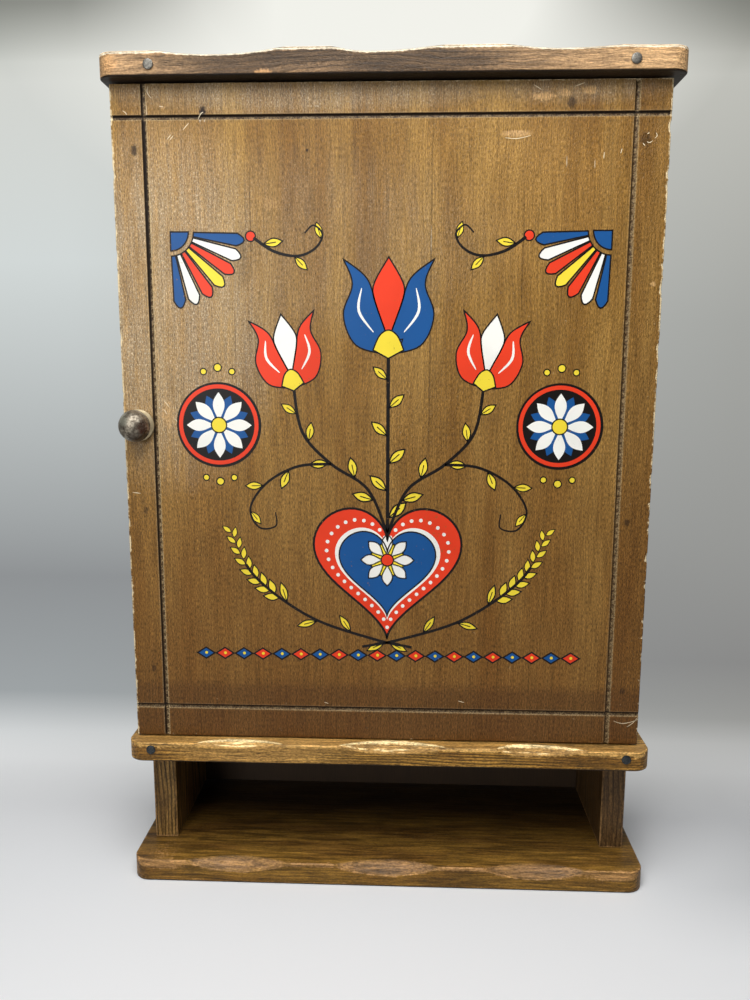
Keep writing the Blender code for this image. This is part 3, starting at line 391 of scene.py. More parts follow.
def make_door_plywood():
    """Rotary-cut plywood, stained golden brown: short upright flecks, soft bands, worn edges."""
    # Its colour also carries painted sheen, painted shade in the grooves and a pale edge that is partly
    # painted highlight
    material, tree, place = start_material("varnished_plywood")
    across, _, up = add(tree, "SeparateXYZ", place).node.outputs
    swing = add(tree, "VectorMath MULTIPLY", figure(tree, place, (45, 45, 160), give="Color"), (12, 0, 0))
    moved = add(tree, "VectorMath ADD", place, swing)

    # Real pores are about 0.2 mm wide and wouldn't show, so the flecks are drawn 0.6 mm wide
    band = figure(tree, moved, (24, 24, 210))
    flame = figure(tree, moved, (5, 5, 60), 3, 0.6)
    streak = figure(tree, moved, (1.1, 1.1, 30), 2, 0.65)
    fleck = figure(tree, moved, (0.6, 0.6, 2.6), 3, 0.7)

    # Painted sheen: a silvery haze and bright flecks, painted where the light lies on the varnish
    glow = spots(tree, place, ((-152, 425, 92, 135, 1, 0.2), (-60, 568, 150, 20, 0.8, 0.3),
                               (120, 570, 80, 16, 0.6, 0.4), (-60, 470, 150, 70, 0.3, 0.4)))
    glow = add(tree, "Math MULTIPLY", glow, add(tree, "MapRange", flame, 0.35, 0.6, 0.45, 1))
    painted_sheen = add(tree, "Math MULTIPLY", glow, 0.27)
    painted_glints = add(tree, "MapRange", figure(tree, moved, (0.62, 0.62, 1.3), 1), 0.53, 0.74, 0, 0.55)
    painted_glints = add(tree, "Math MULTIPLY", painted_glints, glow)

    # Veneer joints, then filled nail holes and stains
    joints = spots(tree, place, ((-106, 330, 1, 165, 0.2, 0.5), (28.6, 420, 0.9, 150, 0.4, 0.5),
                                 (-94, 480, 0.8, 40, 0.4, 0.5), (90, 470, 0.9, 60, 0.3, 0.5)))
    dark = spots(tree, place, ((-171.7, 529, 2.6, 4.6, 0.8, 0.9), (-173.6, 283.4, 2.2, 3, 0.6, 0.9),
                               (-172.5, 165.2, 2.2, 3.4, 0.6, 0.9), (-124.4, 552.4, 2.6, 4.8, 1, 1),
                               (119, 556.4, 3.6, 4.6, 0.7, 1), (167.5, 533, 4, 5.6, 0.6, 1.4),
                               (168.5, 277.9, 2.4, 3.4, 0.7, 0.9), (171.5, 153.5, 2.4, 3.2, 0.6, 0.9),
                               (-54.9, 528.1, 1.1, 1.3, 0.95, 0.5), (-100, 458, 6, 26, 0.28, 0.8)))
    rubbed = spots(tree, place, ((84, 537.6, 12, 2.6, 0.95, 0.4), (100, 560.5, 9, 3, 0.85, 1.3),
                                 (114, 562.5, 5, 2.6, 0.8, 1.3), (130, 564, 6, 3.2, 0.85, 1.3),
                                 (-155.5, 352, 5, 11, 0.6, 1.4), (184, 542, 2.8, 5, 0.9, 0.8),
                                 (-151.2, 555.7, 2.6, 1, 0.7, 0.9), (-60.2, 410.4, 3.4, 2.2, 0.5, 1.3),
                                 (32.8, 423.7, 3, 2.4, 0.5, 1.3), (-80, 494, 6, 5, 0.35, 1.4),
                                 (177.5, 441, 2.2, 2, 0.8, 1)))
    nicks = spots(tree, place, ((-126.4, 549, 0.6, 3.2, 0.9, 1), (-123.2, 548.6, 0.5, 2.6, 0.8, 1),
                                (-162, 553, 0.4, 5.5, 0.4, 0.8), (117, 520, 0.5, 4, 0.3, 0.8),
                                (135.5, 518, 0.4, 3.4, 0.3, 0.8), (28.5, 470, 0.4, 10, 0.25, 0.8)))

    # Each layer of the face, by how much it covers and its colour; some of them are painted light
    colour = add(tree, "Mix RGBA", add(tree, "MapRange", band, 0.32, 0.68), "#7f5a26", "#a17c40")
    for mask, tone in (
            # Darker towards the bottom
            (add(tree, "MapRange", up, 420, 110, 0, 0.7), "#6b431c"),
            (add(tree, "MapRange", up, 158, 150, 0, 0.5), "#4d3017"),
            # Paler patches; the one on the left is painted light where the painted sheen lies
            (spots(tree, place, ((104, 500, 52, 70, 0.3, 0.4), (-150, 420, 60, 170, 0.35, 0.4))), "#b68c4c"),
            (add(tree, "MapRange", flame, 0.42, 0.72, 0, 0.34), "#5a3a14"),
            # Painted sheen and painted glints
            (painted_sheen, "#cdbfa4"), (painted_glints, "#eadfc2"),
            (add(tree, "MapRange", across, 161, 164, 0, 0.36), "#5f3c1a"),
            (add(tree, "Math MAXIMUM", dark, joints), "#2b1c10"), (rubbed, "#c09863"), (nicks, "#f2e6cc")):
        colour = add(tree, "Mix RGBA", mask, colour, tone)

    # Streaks and flecks, the flecks stronger lower down
    lift = add(tree, "Math MULTIPLY", add(tree, "Math SUBTRACT", fleck, 0.5),
               add(tree, "MapRange", up, 430, 300, 1.35, 1.6))
    lift = add(tree, "Math MAXIMUM", add(tree, "Math MULTIPLY_ADD", lift, 2.3, 1), 0.35)
    for factor in (add(tree, "MapRange", streak, 0.3, 0.7, 0.72, 1.28), lift):
        colour = add(tree, "VectorMath SCALE", colour, factor)

    # Grooves: a brown floor with the cutter's beads, pale lips, painted shade on one wall; chipped edges
    floor, lip, soot, wear = [add(tree, "Attribute", give="Fac", attribute_name=label)
                              for label in ("groove", "lip", "soot", "wear")]
    grit = add(tree, "TexNoise", place, 1 / 1.1, 2)
    bed = add(tree, "Mix RGBA", add(tree, "MapRange", grit, 0.42, 0.62), "#382512", "#664e2d")
    # The pale lips' specks, partly painted highlight
    speck = add(tree, "Math MULTIPLY", add(tree, "MapRange", grit, 0.4, 0.58, 0.2, 0.95), lip)
    bite = add(tree, "TexNoise", place, 1 / 2.6, 4, 0.7)
    # Chips and the pale edge line, which is partly painted highlight
    chips_and_edge_highlight = add(tree, "Math ADD", wear, add(tree, "MapRange", bite, 0.3, 0.7, -0.35, 0.35))
    chips_and_edge_highlight = add(tree, "MapRange", chips_and_edge_highlight, 0.3, 0.6, 0, 0.95)
    for mask, tone in ((floor, bed), (speck, "#e6cb9a"), (soot, "#170e07"), (chips_and_edge_highlight, "#efd8ac")):
        colour = add(tree, "Mix RGBA", mask, colour, tone)

    gloss = add(tree, "Math ADD", add(tree, "MapRange", fleck, 0.3, 0.7, 0.24, 0.38),
                add(tree, "MapRange", up, 430, 230, 0, 0.16))
    gloss = add(tree, "Math MULTIPLY_ADD", soot, 0.4, gloss)
    nap = add(tree, "Math MULTIPLY_ADD", fleck, 0.5, figure(tree, moved, (0.8, 0.8, 1.3), 1))
    return finish_material(material, {"Base Color": colour, "Roughness": gloss,
                                      "Specular IOR Level": VARNISH_SHINE}, nap, 0.9, 0.3)


def make_backing_plywood(rear_y):
    """Thin plywood: brown stain and painted shade towards the shelves, bare and dusty on its side to the
    wall.
    """
    material, tree, place = start_material("backing_plywood")
    streak = figure(tree, place, (0.8, 3, 24), 3)
    broad = figure(tree, place, (22, 22, 140), 3)
    bare = add(tree, "Math GREATER_THAN", add(tree, "SeparateXYZ", place, give="Y"), rear_y / MM)
    # Painted shade: the stain on the shelves' side is darkened nearly to black
    stained = add(tree, "Mix RGBA", broad, "#2e1f0f", "#412d16")
    plain = add(tree, "Mix RGBA", broad, "#a2835a", "#c2a679")
    colour = add(tree, "Mix RGBA", bare, stained, plain)
    lift = add(tree, "MapRange", streak, 0.3, 0.7, 0.74, 1.22)
    colour = add(tree, "VectorMath SCALE", colour, lift)
    return finish_material(material, {"Base Color": colour, "Roughness": 0.62}, streak, 0.3, 0.1)


def make_metal(name, body, bright, spot_mm, rough, pitted=0.25, metallic=1, tarnish_and_shade=()):
    """Old metal: a darkened body with rubbed bright specks, and fine pits in its face."""
    material, tree, place = start_material(name)
    mottle = add(tree, "TexNoise", place, 1 / spot_mm, 5, 0.7)
    colour = add(tree, "Mix RGBA", add(tree, "MapRange", mottle, 0.36, 0.68), body, bright)
    # Patches of tarnish, and of painted shade
    for tone, patch in tarnish_and_shade:
        colour = add(tree, "Mix RGBA", spots(tree, place, [patch]), colour, tone)
    polish = add(tree, "Attribute", give="Fac", attribute_name="polish")
    colour = add(tree, "Mix RGBA", polish, colour, "#b5a584")
    gloss = add(tree, "MapRange", mottle, 0.35, 0.65, rough + 0.12, rough - 0.06)
    gloss = add(tree, "Math MULTIPLY_ADD", polish, 0.2, gloss)
    return finish_material(material, {"Base Color": colour, "Metallic": metallic, "Roughness": gloss},
                           mottle, pitted, 0.15)


def make_ink(name, code):
    """Screen-printed enamel under old varnish: flat colour, a little rubbed through to the wood in specks."""
    material, tree, place = start_material(name)
    patch = add(tree, "MapRange", add(tree, "TexNoise", place, 1 / 38, 2), 0.4, 0.75, -0.04, 0.07)
    rub = add(tree, "Math ADD", add(tree, "TexNoise", place, 1 / 2.4, 5, 0.72), patch)
    worn = add(tree, "MapRange", rub, 0.665, 0.7, 0, 0.8)
    colour = add(tree, "Mix RGBA", worn, code, "#8a6636")
    film = add(tree, "MapRange", patch, -0.04, 0.07, 1.04, 0.9)
    colour = add(tree, "VectorMath SCALE", colour, film)
    return finish_material(material, {"Base Color": colour, "Roughness": 0.4,
                                      "Specular IOR Level": VARNISH_SHINE}, rub, 0.12, 0.1)


def new_piece(name, mesh, material=None):
    """An object at the origin that holds a mesh, a lamp or a lens."""
    piece = bpy.data.objects.new(name, mesh)
    bpy.context.scene.collection.objects.link(piece)
    if material and not mesh.materials:
        mesh.materials.append(material)
    return piece


def mesh_from(name, vertices, faces, attributes=None):
    """A mesh from lists of points and faces, with named values on its points."""
    mesh = bpy.data.meshes.new(name)
    mesh.from_pydata([tuple(point) for point in vertices], [], faces)
    for label, values in (attributes or {}).items():
        layer = mesh.attributes.new(label, "FLOAT", "POINT")
        layer.data.foreach_set("value", np.asarray(values, dtype=np.float32))
    mesh.update()
    return mesh


def soften(mesh, degrees=30):
    """Smooth shading with sharp arrises, and faces that point outwards."""
    work = bmesh.new()
    work.from_mesh(mesh)
    bmesh.ops.recalc_face_normals(work, faces=work.faces)
    work.to_mesh(mesh)
    work.free()
    mesh.shade_smooth()
    mesh.set_sharp_from_angle(angle=radians(degrees))


def evaluated_mesh(piece, name):
    """The piece's mesh with its modifiers worked out, as a plain mesh; the piece itself is removed."""
    graph = bpy.context.evaluated_depsgraph_get()
    mesh = bpy.data.meshes.new_from_object(piece.evaluated_get(graph), depsgraph=graph)
    mesh.name = name
    bpy.data.objects.remove(piece, do_unlink=True)
    return mesh


def run_tree(piece, tree, values):
    """Gives a piece a Geometry Nodes modifier with its named inputs set."""
    change = piece.modifiers.new(tree.name, "NODES")
    change.node_group = tree
    sockets = {item.name: item.identifier for item in tree.interface.items_tree if item.in_out == "INPUT"}
    for name, value in values.items():
        change[sockets[name]] = float(value) if isinstance(value, int) else value
    return piece


def finish_tree(tree, geometry, finish):
    """Ends a geometry tree in plain geometry of one material."""
    whole = add(tree, "GeometryNodeRealizeInstances", geometry)
    whole = add(tree, "GeometryNodeSetMaterial", {"Geometry": whole, "Material": finish})
    add(tree, "NodeGroupOutput", {"Geometry": whole})
    return tree


def make_hewing_tree():
    """Hews three gouges into a board's front arris, each with its own place, reaches and depth."""
    sizes = ["Drop", "Setback", "Easing", "Hollow", "Chatter Depth", "Chatter Pitch", "Unevenness", "Seed",
             *[f"{ordinal} {field}" for ordinal in GOUGE_ORDER for field in GOUGE_FIELDS]]
    tree, given = start_group("hewn_board", "Geometry",
                              {"Geometry": "Geometry", **dict.fromkeys(sizes, 0), "Finish": "Material"},
                              {"Geometry": "Geometry"})
    place = add(tree, "GeometryNodeInputPosition")
    x, y, _ = add(tree, "SeparateXYZ", place).node.outputs
    stored = {name: add(tree, "GeometryNodeInputNamedAttribute", {"Name": name}, give="Attribute")
              for name in BOARD_WEIGHTS}
    share = None
    chatter = None
    for ordinal in GOUGE_ORDER:
        run = add(tree, "Math SUBTRACT", x, given[ordinal + " Place"])
        leftward = add(tree, "Math LESS_THAN", run, 0)
        reach = add(tree, "Mix", leftward, given[ordinal + " Right Reach"], given[ordinal + " Left Reach"])
        run = add(tree, "Math DIVIDE", run, reach)
        square = add(tree, "Math MULTIPLY", run, run)
        dip = add(tree, "Math SUBTRACT", 1, square, use_clamp=True)
        dip = add(tree, "Math MULTIPLY", dip, given[ordinal + " Depth"])
        share = dip if share is None else add(tree, "Math MAXIMUM", share, dip)
        tip = add(tree, "Math MULTIPLY", add(tree, "MapRange", run, -0.3, -0.75), dip)
        chatter = tip if chatter is None else add(tree, "Math MAXIMUM", chatter, tip)

    # How far the arris goes down and back, deeper in some places than in others
    drift = add(tree, "VectorMath MULTIPLY", place, (1 / 0.022, 1 / 0.09, 1 / 0.09))
    uneven = add(tree, "TexNoise", drift, given["Seed"], 1, 2, noise_dimensions="4D")
    uneven = add(tree, "Math MULTIPLY", uneven, given["Unevenness"])
    share_cut = add(tree, "Math MULTIPLY", share, add(tree, "Math SUBTRACT", 1, uneven))
    drop = add(tree, "Math MAXIMUM", add(tree, "Math MULTIPLY", share_cut, given["Drop"]), given["Easing"])
    drop = add(tree, "Math SUBTRACT", given["Easing"], drop)
    drop = add(tree, "Math MULTIPLY", drop, stored["fall"])
    setback = add(tree, "Math MULTIPLY", share_cut, given["Setback"])
    setback = add(tree, "Math MAXIMUM", setback, given["Easing"])
    setback = add(tree, "Math SUBTRACT", setback, given["Easing"])
    setback = add(tree, "Math MULTIPLY", setback, stored["back"])

    # The chisel's chatter, in waves that cross the facet at a slant
    cycle = add(tree, "Math DIVIDE", add(tree, "Math MULTIPLY_ADD", y, 0.6, x), given["Chatter Pitch"])
    mark = add(tree, "Math ADD", add(tree, "Math SINE", add(tree, "Math MULTIPLY", cycle, 2 * pi)), 1)
    for weight in (chatter, stored["facet"], given["Chatter Depth"]):
        mark = add(tree, "Math MULTIPLY", mark, weight)
    hollow = add(tree, "Math MULTIPLY", share, stored["facet"])
    sunk = add(tree, "Math MULTIPLY_ADD", hollow, given["Hollow"], mark)
    offset = add(tree, "CombineXYZ", {"Y": add(tree, "Math ADD", setback, sunk),
                                      "Z": add(tree, "Math SUBTRACT", drop, sunk)})

    # What the stained wood's colours read: bare facets, rubbed arrises, painted highlights on crests and
    # facets' upper edges
    hewn = add(tree, "Math MULTIPLY", add(tree, "MapRange", share, 0.08, 0.42), stored["facet"])
    wear = add(tree, "Math MULTIPLY", stored["arris"], add(tree, "MapRange", share, 0.1, 0.9, 1, 0.62))
    ridge = add(tree, "Math MULTIPLY", add(tree, "MapRange", share, 0.02, 0.22, 0.85, 0), stored["facet"])
    wear = add(tree, "Math MAXIMUM", wear, ridge)
    opened = add(tree, "MapRange", share, 0.02, 0.25)
    crest = add(tree, "Math MAXIMUM", stored["brow"], stored["lead"])
    crest = add(tree, "Mix", opened, crest, stored["lead"])
    peak = add(tree, "Math MULTIPLY", stored["upper"], opened)
    geometry = given["Geometry"]
    for name, value in (("hewn", hewn), ("crest", crest), ("peak", peak), ("wear", wear)):
        geometry = add(tree, "GeometryNodeStoreNamedAttribute",
                       {"Geometry": geometry, "Name": name, "Value": value})
    geometry = add(tree, "GeometryNodeSetPosition", {"Geometry": geometry, "Offset": offset})
    return finish_tree(tree, geometry, given["Finish"])


def set_pieces(tree, given, points, turn, size):
    """Ends a tree with its piece on each point, turned and sized."""
    turn = add(tree, "FunctionNodeEulerToRotation", turn)
    piece = add(tree, "GeometryNodeObjectInfo", {"Object": given["Piece"], "As Instance": True},
                give="Geometry")
    copies = add(tree, "GeometryNodeInstanceOnPoints",
                 {"Points": points, "Instance": piece, "Rotation": turn, "Scale": size})
    return finish_tree(tree, copies, given["Finish"])


def make_spread_tree():
    """Sets one piece on each mark, turned as the mark says."""
    tree, given = start_group("set_on_marks", "Geometry",
                              {"Geometry": "Geometry", "Piece": "Object", "Size": 1, "Finish": "Material"},
                              {"Geometry": "Geometry"})
    turn = add(tree, "GeometryNodeInputNamedAttribute", {"Name": "turn"}, give="Attribute",
               data_type="FLOAT_VECTOR")
    return set_pieces(tree, given, given["Geometry"], turn, given["Size"])


def make_path_tree():
    """Sets pieces along a drawn line at a pitch, leaning to either side by turns, smaller towards its end."""
    tree, given = start_group("set_along_line", "Geometry",
                              {"Geometry": "Geometry", "Piece": "Object", "Pitch": 0.01, "Lean": 0,
                               "Start Size": 1, "End Size": 1, "Finish": "Material"},
                              {"Geometry": "Geometry"})
    line = add(tree, "GeometryNodeMeshToCurve", given["Geometry"])
    count = add(tree, "Math DIVIDE", add(tree, "GeometryNodeCurveLength", line), given["Pitch"])
    beads = add(tree, "GeometryNodeCurveToPoints", {"Curve": line, "Count": count}, mode="COUNT").node.outputs
    along = add(tree, "SeparateXYZ", beads["Tangent"]).node.outputs
    heading = add(tree, "Math ARCTAN2", along["Z"], along["X"])
    index = add(tree, "GeometryNodeInputIndex")
    side = add(tree, "Math MULTIPLY_ADD", add(tree, "Math MODULO", index, 2), 2, -1)
    lean = add(tree, "Math MULTIPLY_ADD", side, given["Lean"], heading)
    turn = add(tree, "CombineXYZ", {"Y": add(tree, "Math MULTIPLY", lean, -1)})
    share = add(tree, "Math DIVIDE", index, count)
    size = add(tree, "MapRange", share, 0, 1, given["Start Size"], given["End Size"])
    return set_pieces(tree, given, beads["Points"], turn, size)


HEWING = make_hewing_tree()
ON_MARKS = make_spread_tree()
ALONG_LINE = make_path_tree()


def marks_mesh(name, places, turns):
    """Loose points that carry a turn each."""
    mesh = mesh_from(name, places, [])
    layer = mesh.attributes.new("turn", "FLOAT_VECTOR", "POINT")
    layer.data.foreach_set("vector", np.asarray(turns, dtype=np.float32).ravel())
    return mesh


def set_on_marks(name, piece_mesh, marks, material):
    """Copies of a piece on each mark, as one plain mesh."""
    model = new_piece(name + "_model", piece_mesh)
    holder = run_tree(new_piece(name + "_marks", marks), ON_MARKS,
                      {"Piece": model, "Size": 1, "Finish": material})
    mesh = evaluated_mesh(holder, name)
    bpy.data.objects.remove(model, do_unlink=True)
    return mesh


def set_along_line(name, piece_mesh, line, material, pitch, lean, sizes):
    """Copies of a piece along a line of points in millimetres on the door, as one plain mesh."""
    model = new_piece(name + "_model", piece_mesh)
    points = [(u * MM, 0, v * MM) for u, v in line]
    path = bpy.data.meshes.new(name + "_line")
    path.from_pydata(points, [(index, index + 1) for index in range(len(points) - 1)], [])
    holder = run_tree(new_piece(name + "_path", path), ALONG_LINE,
                      {"Piece": model, "Pitch": pitch * MM, "Lean": lean, "Start Size": sizes[0],
                       "End Size": sizes[1], "Finish": material})
    mesh = evaluated_mesh(holder, name)
    bpy.data.objects.remove(model, do_unlink=True)
    return mesh


def board_blank(name, node, end_drop):
    """A board before hewing, ring by ring along its length; its points carry how the tool moves them."""
    low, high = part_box(node)
    thick = high.z - low.z
    half = high.x
    straight = half - CORNER_RADIUS
    turns = [pi / 2 * step / 16 for step in range(17)]
    corner = [(straight + CORNER_RADIUS * sin(turn), CORNER_RADIUS * (1 - cos(turn))) for turn in turns]
    count = int(2 * straight / BOARD_PITCH)
    flat = [(-straight + 2 * straight * step / count, 0) for step in range(1, count)]
    stations = [(-x, back) for x, back in reversed(corner)] + flat + corner

    rings = []
    weights = {label: [] for label in BOARD_WEIGHTS}
    for x, back in stations:
        front = low.y + back
        past = max(0, abs(x) - (half - EASING)) / EASING
        inset = EASING * (1 - sqrt(max(0, 1 - past * past)))
        worn = min(1, max(0, (abs(x) - 110 * MM) / (60 * MM)))
        worn_down = end_drop * worn * worn * (3 - 2 * worn)
        ring = []

        def point(y, z, fall, setback, facet, edge, upper=0, brow=0, lead=0):
            level = inset + z * (thick - 2 * inset - worn_down) / thick
            ring.append((x, min(y, high.y - inset), low.z + level))
            for label, value in zip(weights, (fall, setback, facet, edge, upper, brow, lead)):
                weights[label].append(value)

        corner_wear = min(1, back / (5 * MM))
        for step in range(9):
            share = 1 - step / 9
            point(front + EASING + (high.y - front - EASING) * share, 0, 0, 0, 0, 0)
        for step in range(5):
            turn = pi / 2 * step / 4
            point(front + EASING * (1 - sin(turn)), EASING * (1 - cos(turn)), 0, 0, 0,
                  0.35 + 0.4 * corner_wear)
        rise = thick - 2 * EASING
        for step in range(1, 13):
            share = 1 - (1 - step / 13) ** 1.5
            near = max(0, 1 - (1 - share) * rise / ((2.4 + 2.6 * worn) * MM))
            lead = max(0, 1 - (1 - share) * rise / (1.5 * MM))
            point(front, EASING + rise * share, share, 0, 0, max(near, 0.55 * corner_wear), lead=lead)
        for step in range(13):
            share = step / 12
            turn = pi / 2 * share
            point(front + EASING * (1 - cos(turn)), thick - EASING * (1 - sin(turn)), 1 - share, share,
                  min(1, 5 * share * (1 - share)), min(1, max(1 - share * 5, 0.1) + 0.4 * corner_wear),
                  max(0, share * 2.2 - 1.2), min(1, max(0, share * 3 - 0.7)), max(0, 1 - share * 3))
        for step in range(1, 27):
            share = (step / 26) ** 1.5
            depth = (high.y - front - EASING) * share
            near = max(0, 0.6 - depth / (4 * MM))
            brow = max(0, 1 - depth / (2.2 * MM))
            point(front + EASING + depth, thick, 0, 1 - share, 0, near, brow, brow)
        rings.append(ring)

    size = len(rings[0])
    vertices = [place for ring in rings for place in ring]
    faces = []
    for index in range(len(rings) - 1):
        for slot in range(size):
            after = (slot + 1) % size
            faces.append((index * size + slot, index * size + after,
                          (index + 1) * size + after, (index + 1) * size + slot))
    faces.append(tuple(range(size)))
    faces.append(tuple(reversed(range((len(rings) - 1) * size, len(rings) * size))))
    ends = np.array([abs(place[0]) for place in vertices])
    edge = np.clip(1 - (half - ends) / (2.5 * MM), 0, 1)
    level = np.array([place[2] for place in vertices])
    rim = np.clip(1 - np.minimum(level - low.z, high.z - level) / (3 * MM), 0, 1)
    weights["arris"] = np.maximum(weights["arris"], 0.75 * edge * rim)
    return mesh_from(name, vertices, faces, weights)


def build_board(name, node, sizes, gouges, material, seed):
    """A hewn board in place of its plain solid; sizes and gouges are in millimetres."""
    drop, setback, hollow, end_drop = [size * MM for size in sizes]
    values = {"Drop": drop, "Setback": setback, "Easing": EASING, "Hollow": hollow, "Seed": seed,
              "Chatter Depth": CHATTER_DEPTH, "Chatter Pitch": CHATTER_PITCH,
              "Unevenness": CHATTER_UNEVENNESS, "Finish": material}
    for ordinal, gouge in zip(GOUGE_ORDER, gouges):
        for field, value in zip(GOUGE_FIELDS, gouge):
            values[f"{ordinal} {field}"] = value if field == "Depth" else value * MM
    blank = run_tree(new_piece(name + "_blank", board_blank(name + "_blank", node, end_drop)), HEWING, values)
    mesh = evaluated_mesh(blank, name)
    soften(mesh, 28)
    board = new_piece(name, mesh)
    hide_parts(node)
    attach(board, "case")


def door_lines(low, high, pitch, grooves, fine_edges):
    """Where the door's mesh lines run across one direction: close together at edges and grooves."""
    lines = {low, high}
    for reach in fine_edges:
        lines.update((low + reach, high - reach))
    for groove in grooves:
        for share in (-1.7, -1.3, -1, -0.94, -0.75, -0.45, 0, 0.45, 0.75, 0.94, 1, 1.3, 1.7):
            lines.add(groove + share * GROOVE_WIDTH / 2)
    busy = sorted(lines)
    count = int((high - low) / pitch)
    for step in range(1, count):
        place = low + (high - low) * step / count
        if min(abs(place - other) for other in busy) > pitch * 0.45:
            lines.add(place)
    return sorted(lines)


def door_mesh():
    """The door's plywood panel: routed grooves, eased edge, chips along the edges."""
    left, right = DOOR_LOW.x, DOOR_HIGH.x
    middle = (left + right) / 2
    grooves_x = (left + SIDE_GROOVE_INSET, right - SIDE_GROOVE_INSET)
    grooves_z = (DOOR_LOW.z + BOTTOM_GROOVE_INSET, DOOR_HIGH.z - TOP_GROOVE_INSET)
    reaches = [value * MM for value in (0.12, 0.35, 0.7, 1.15, 1.6, 2.3, 3.2)]
    xs = door_lines(left, right, DOOR_PITCH_ACROSS, grooves_x, reaches)
    zs = door_lines(DOOR_LOW.z, DOOR_HIGH.z, DOOR_PITCH_UP, grooves_z, reaches)
    grid_x, grid_z = np.meshgrid(np.array(xs), np.array(zs), indexing="ij")

    side_x = np.minimum(grid_x - left, right - grid_x)
    side_z = np.minimum(grid_z - DOOR_LOW.z, DOOR_HIGH.z - grid_z)
    depth, groove, lip, soot, chip = [np.zeros_like(grid_x) for _ in range(5)]
    # Each groove's centre, the way to its wall with painted shade, how dark that is and how pale its lip is
    rows = ((grooves_x[0], grid_x, -1, 0.97, 0.95), (grooves_x[1], grid_x, -1, 0.7, 0.6),
            (grooves_z[0], grid_z, 1, 0.95, 0.45), (grooves_z[1], grid_z, 1, 0.95, 0.55))
    for centre, across, dark_side, groove_shade_strength, paleness in rows:
        run = (across - centre) / (GROOVE_WIDTH / 2)
        shape = np.clip(1 - run ** 4, 0, 1) ** 0.5
        depth = np.maximum(depth, GROOVE_SHOWN * shape)
        groove = np.maximum(groove, np.clip(1.12 - run ** 6, 0, 1))
        toward = run * dark_side
        along = grid_z if across is grid_x else grid_x
        upright = across is grid_x and centre < middle
        # Painted shade on one wall of the groove, reaching further in the left groove's upper part
        wider_groove_shade = upright * np.clip((grid_z - 0.40) / 0.06, 0, 1)
        wider_groove_shade = wider_groove_shade * np.clip((0.549 - grid_z) / (2 * MM), 0, 1)
        reach = (-0.3 if across is grid_x else -0.1) + 0.8 * wider_groove_shade
        dark = np.clip((toward + reach) / 0.35, 0, 1) * np.clip((1.2 - toward) / 0.25, 0, 1)
        soot = np.maximum(soot, groove_shade_strength * dark)
        bead = np.clip(0.5 + 0.9 * np.sin(along * 2 * pi / (2.1 * MM)), 0, 1)
        # Pale lips and the floor's beads: worn specks, partly painted highlight
        lip = np.maximum(lip, paleness * np.clip(1 - np.abs(-toward - 1) / 0.35, 0, 1))
        lip = np.maximum(lip, 0.35 * paleness * np.clip(1 - np.abs(toward - 1.35) / 0.35, 0, 1))
        lip = np.maximum(lip, 0.6 * paleness * bead * np.clip(1.3 - np.abs(-toward - 0.3) / 0.5, 0, 1))
    for side in (side_x, side_z):
        inward = np.clip(PANEL_EASING - side, 0, PANEL_EASING)
        depth = np.maximum(depth, PANEL_EASING - np.sqrt(np.maximum(PANEL_EASING ** 2 - inward ** 2, 0)))

    chance = np.random.default_rng(CHIP_SEED)
    seen = [(1, 0.5411, 1.2, 4.2), (1, 0.5116, 0.9, 3.2), (1, 0.4381, 1.1, 3.6), (1, 0.3988, 0.9, 3.5),
            (1, 0.3091, 0.8, 3), (1, 0.2526, 0.9, 3.4), (-1, 0.5132, 0.9, 4), (-1, 0.4610, 0.6, 3)]
    strewn = [(1 if chance.uniform() < 0.7 else -1, chance.uniform(DOOR_LOW.z + 0.01, DOOR_HIGH.z - 0.01),
               chance.uniform(0.25, 0.7), chance.uniform(0.8, 2.4)) for _ in range(60)]
    for hand, height, bite, reach in seen + strewn:
        run = (grid_z - height) / (reach * MM)
        here = np.clip(1 - run * run, 0, 1) ** 0.7 * np.clip(1 - side_x / (2.6 * MM), 0, 1)
        chip = np.maximum(chip, np.where((grid_x - middle) * hand > 0, here * bite, 0))
    low_chips = [(chance.uniform(left, right), chance.uniform(0.05, 0.2), chance.uniform(4, 9))
                 for _ in range(14)]
    for across, bite, reach in low_chips:
        run = (grid_x - across) / (reach * MM)
        here = np.clip(1 - run * run, 0, 1) * np.clip(1 - side_z / (2 * MM), 0, 1)
        chip = np.maximum(chip, here * bite)

    shift_x = -np.sign(grid_x - middle) * chip * 0.55 * MM * (side_x < 4 * MM)
    depth = depth + chip * 0.5 * MM
    # A pale line along the edges: partly wear, partly painted highlight where the edge meets the light
    slow = 0.5 + 0.5 * np.sin(grid_z * 90 + np.sin(grid_z * 260) * 1.7 + grid_x * 8)
    high_up = np.clip((grid_z - 0.2) / 0.15, 0.35, 1) * (grid_x > middle) + 1 * (grid_x <= middle)
    edge_wear_and_highlight = np.clip(1.8 - side_x / (1 * MM), 0, 1) * (0.35 + 0.4 * slow) * high_up
    from_top = DOOR_HIGH.z - grid_z
    edge_wear_and_highlight = np.maximum(edge_wear_and_highlight, np.clip(1 - from_top / (1.6 * MM), 0, 1) * (0.3 + 0.35 * slow))
    wear = np.clip(np.maximum(edge_wear_and_highlight, chip * 1.5), 0, 1)

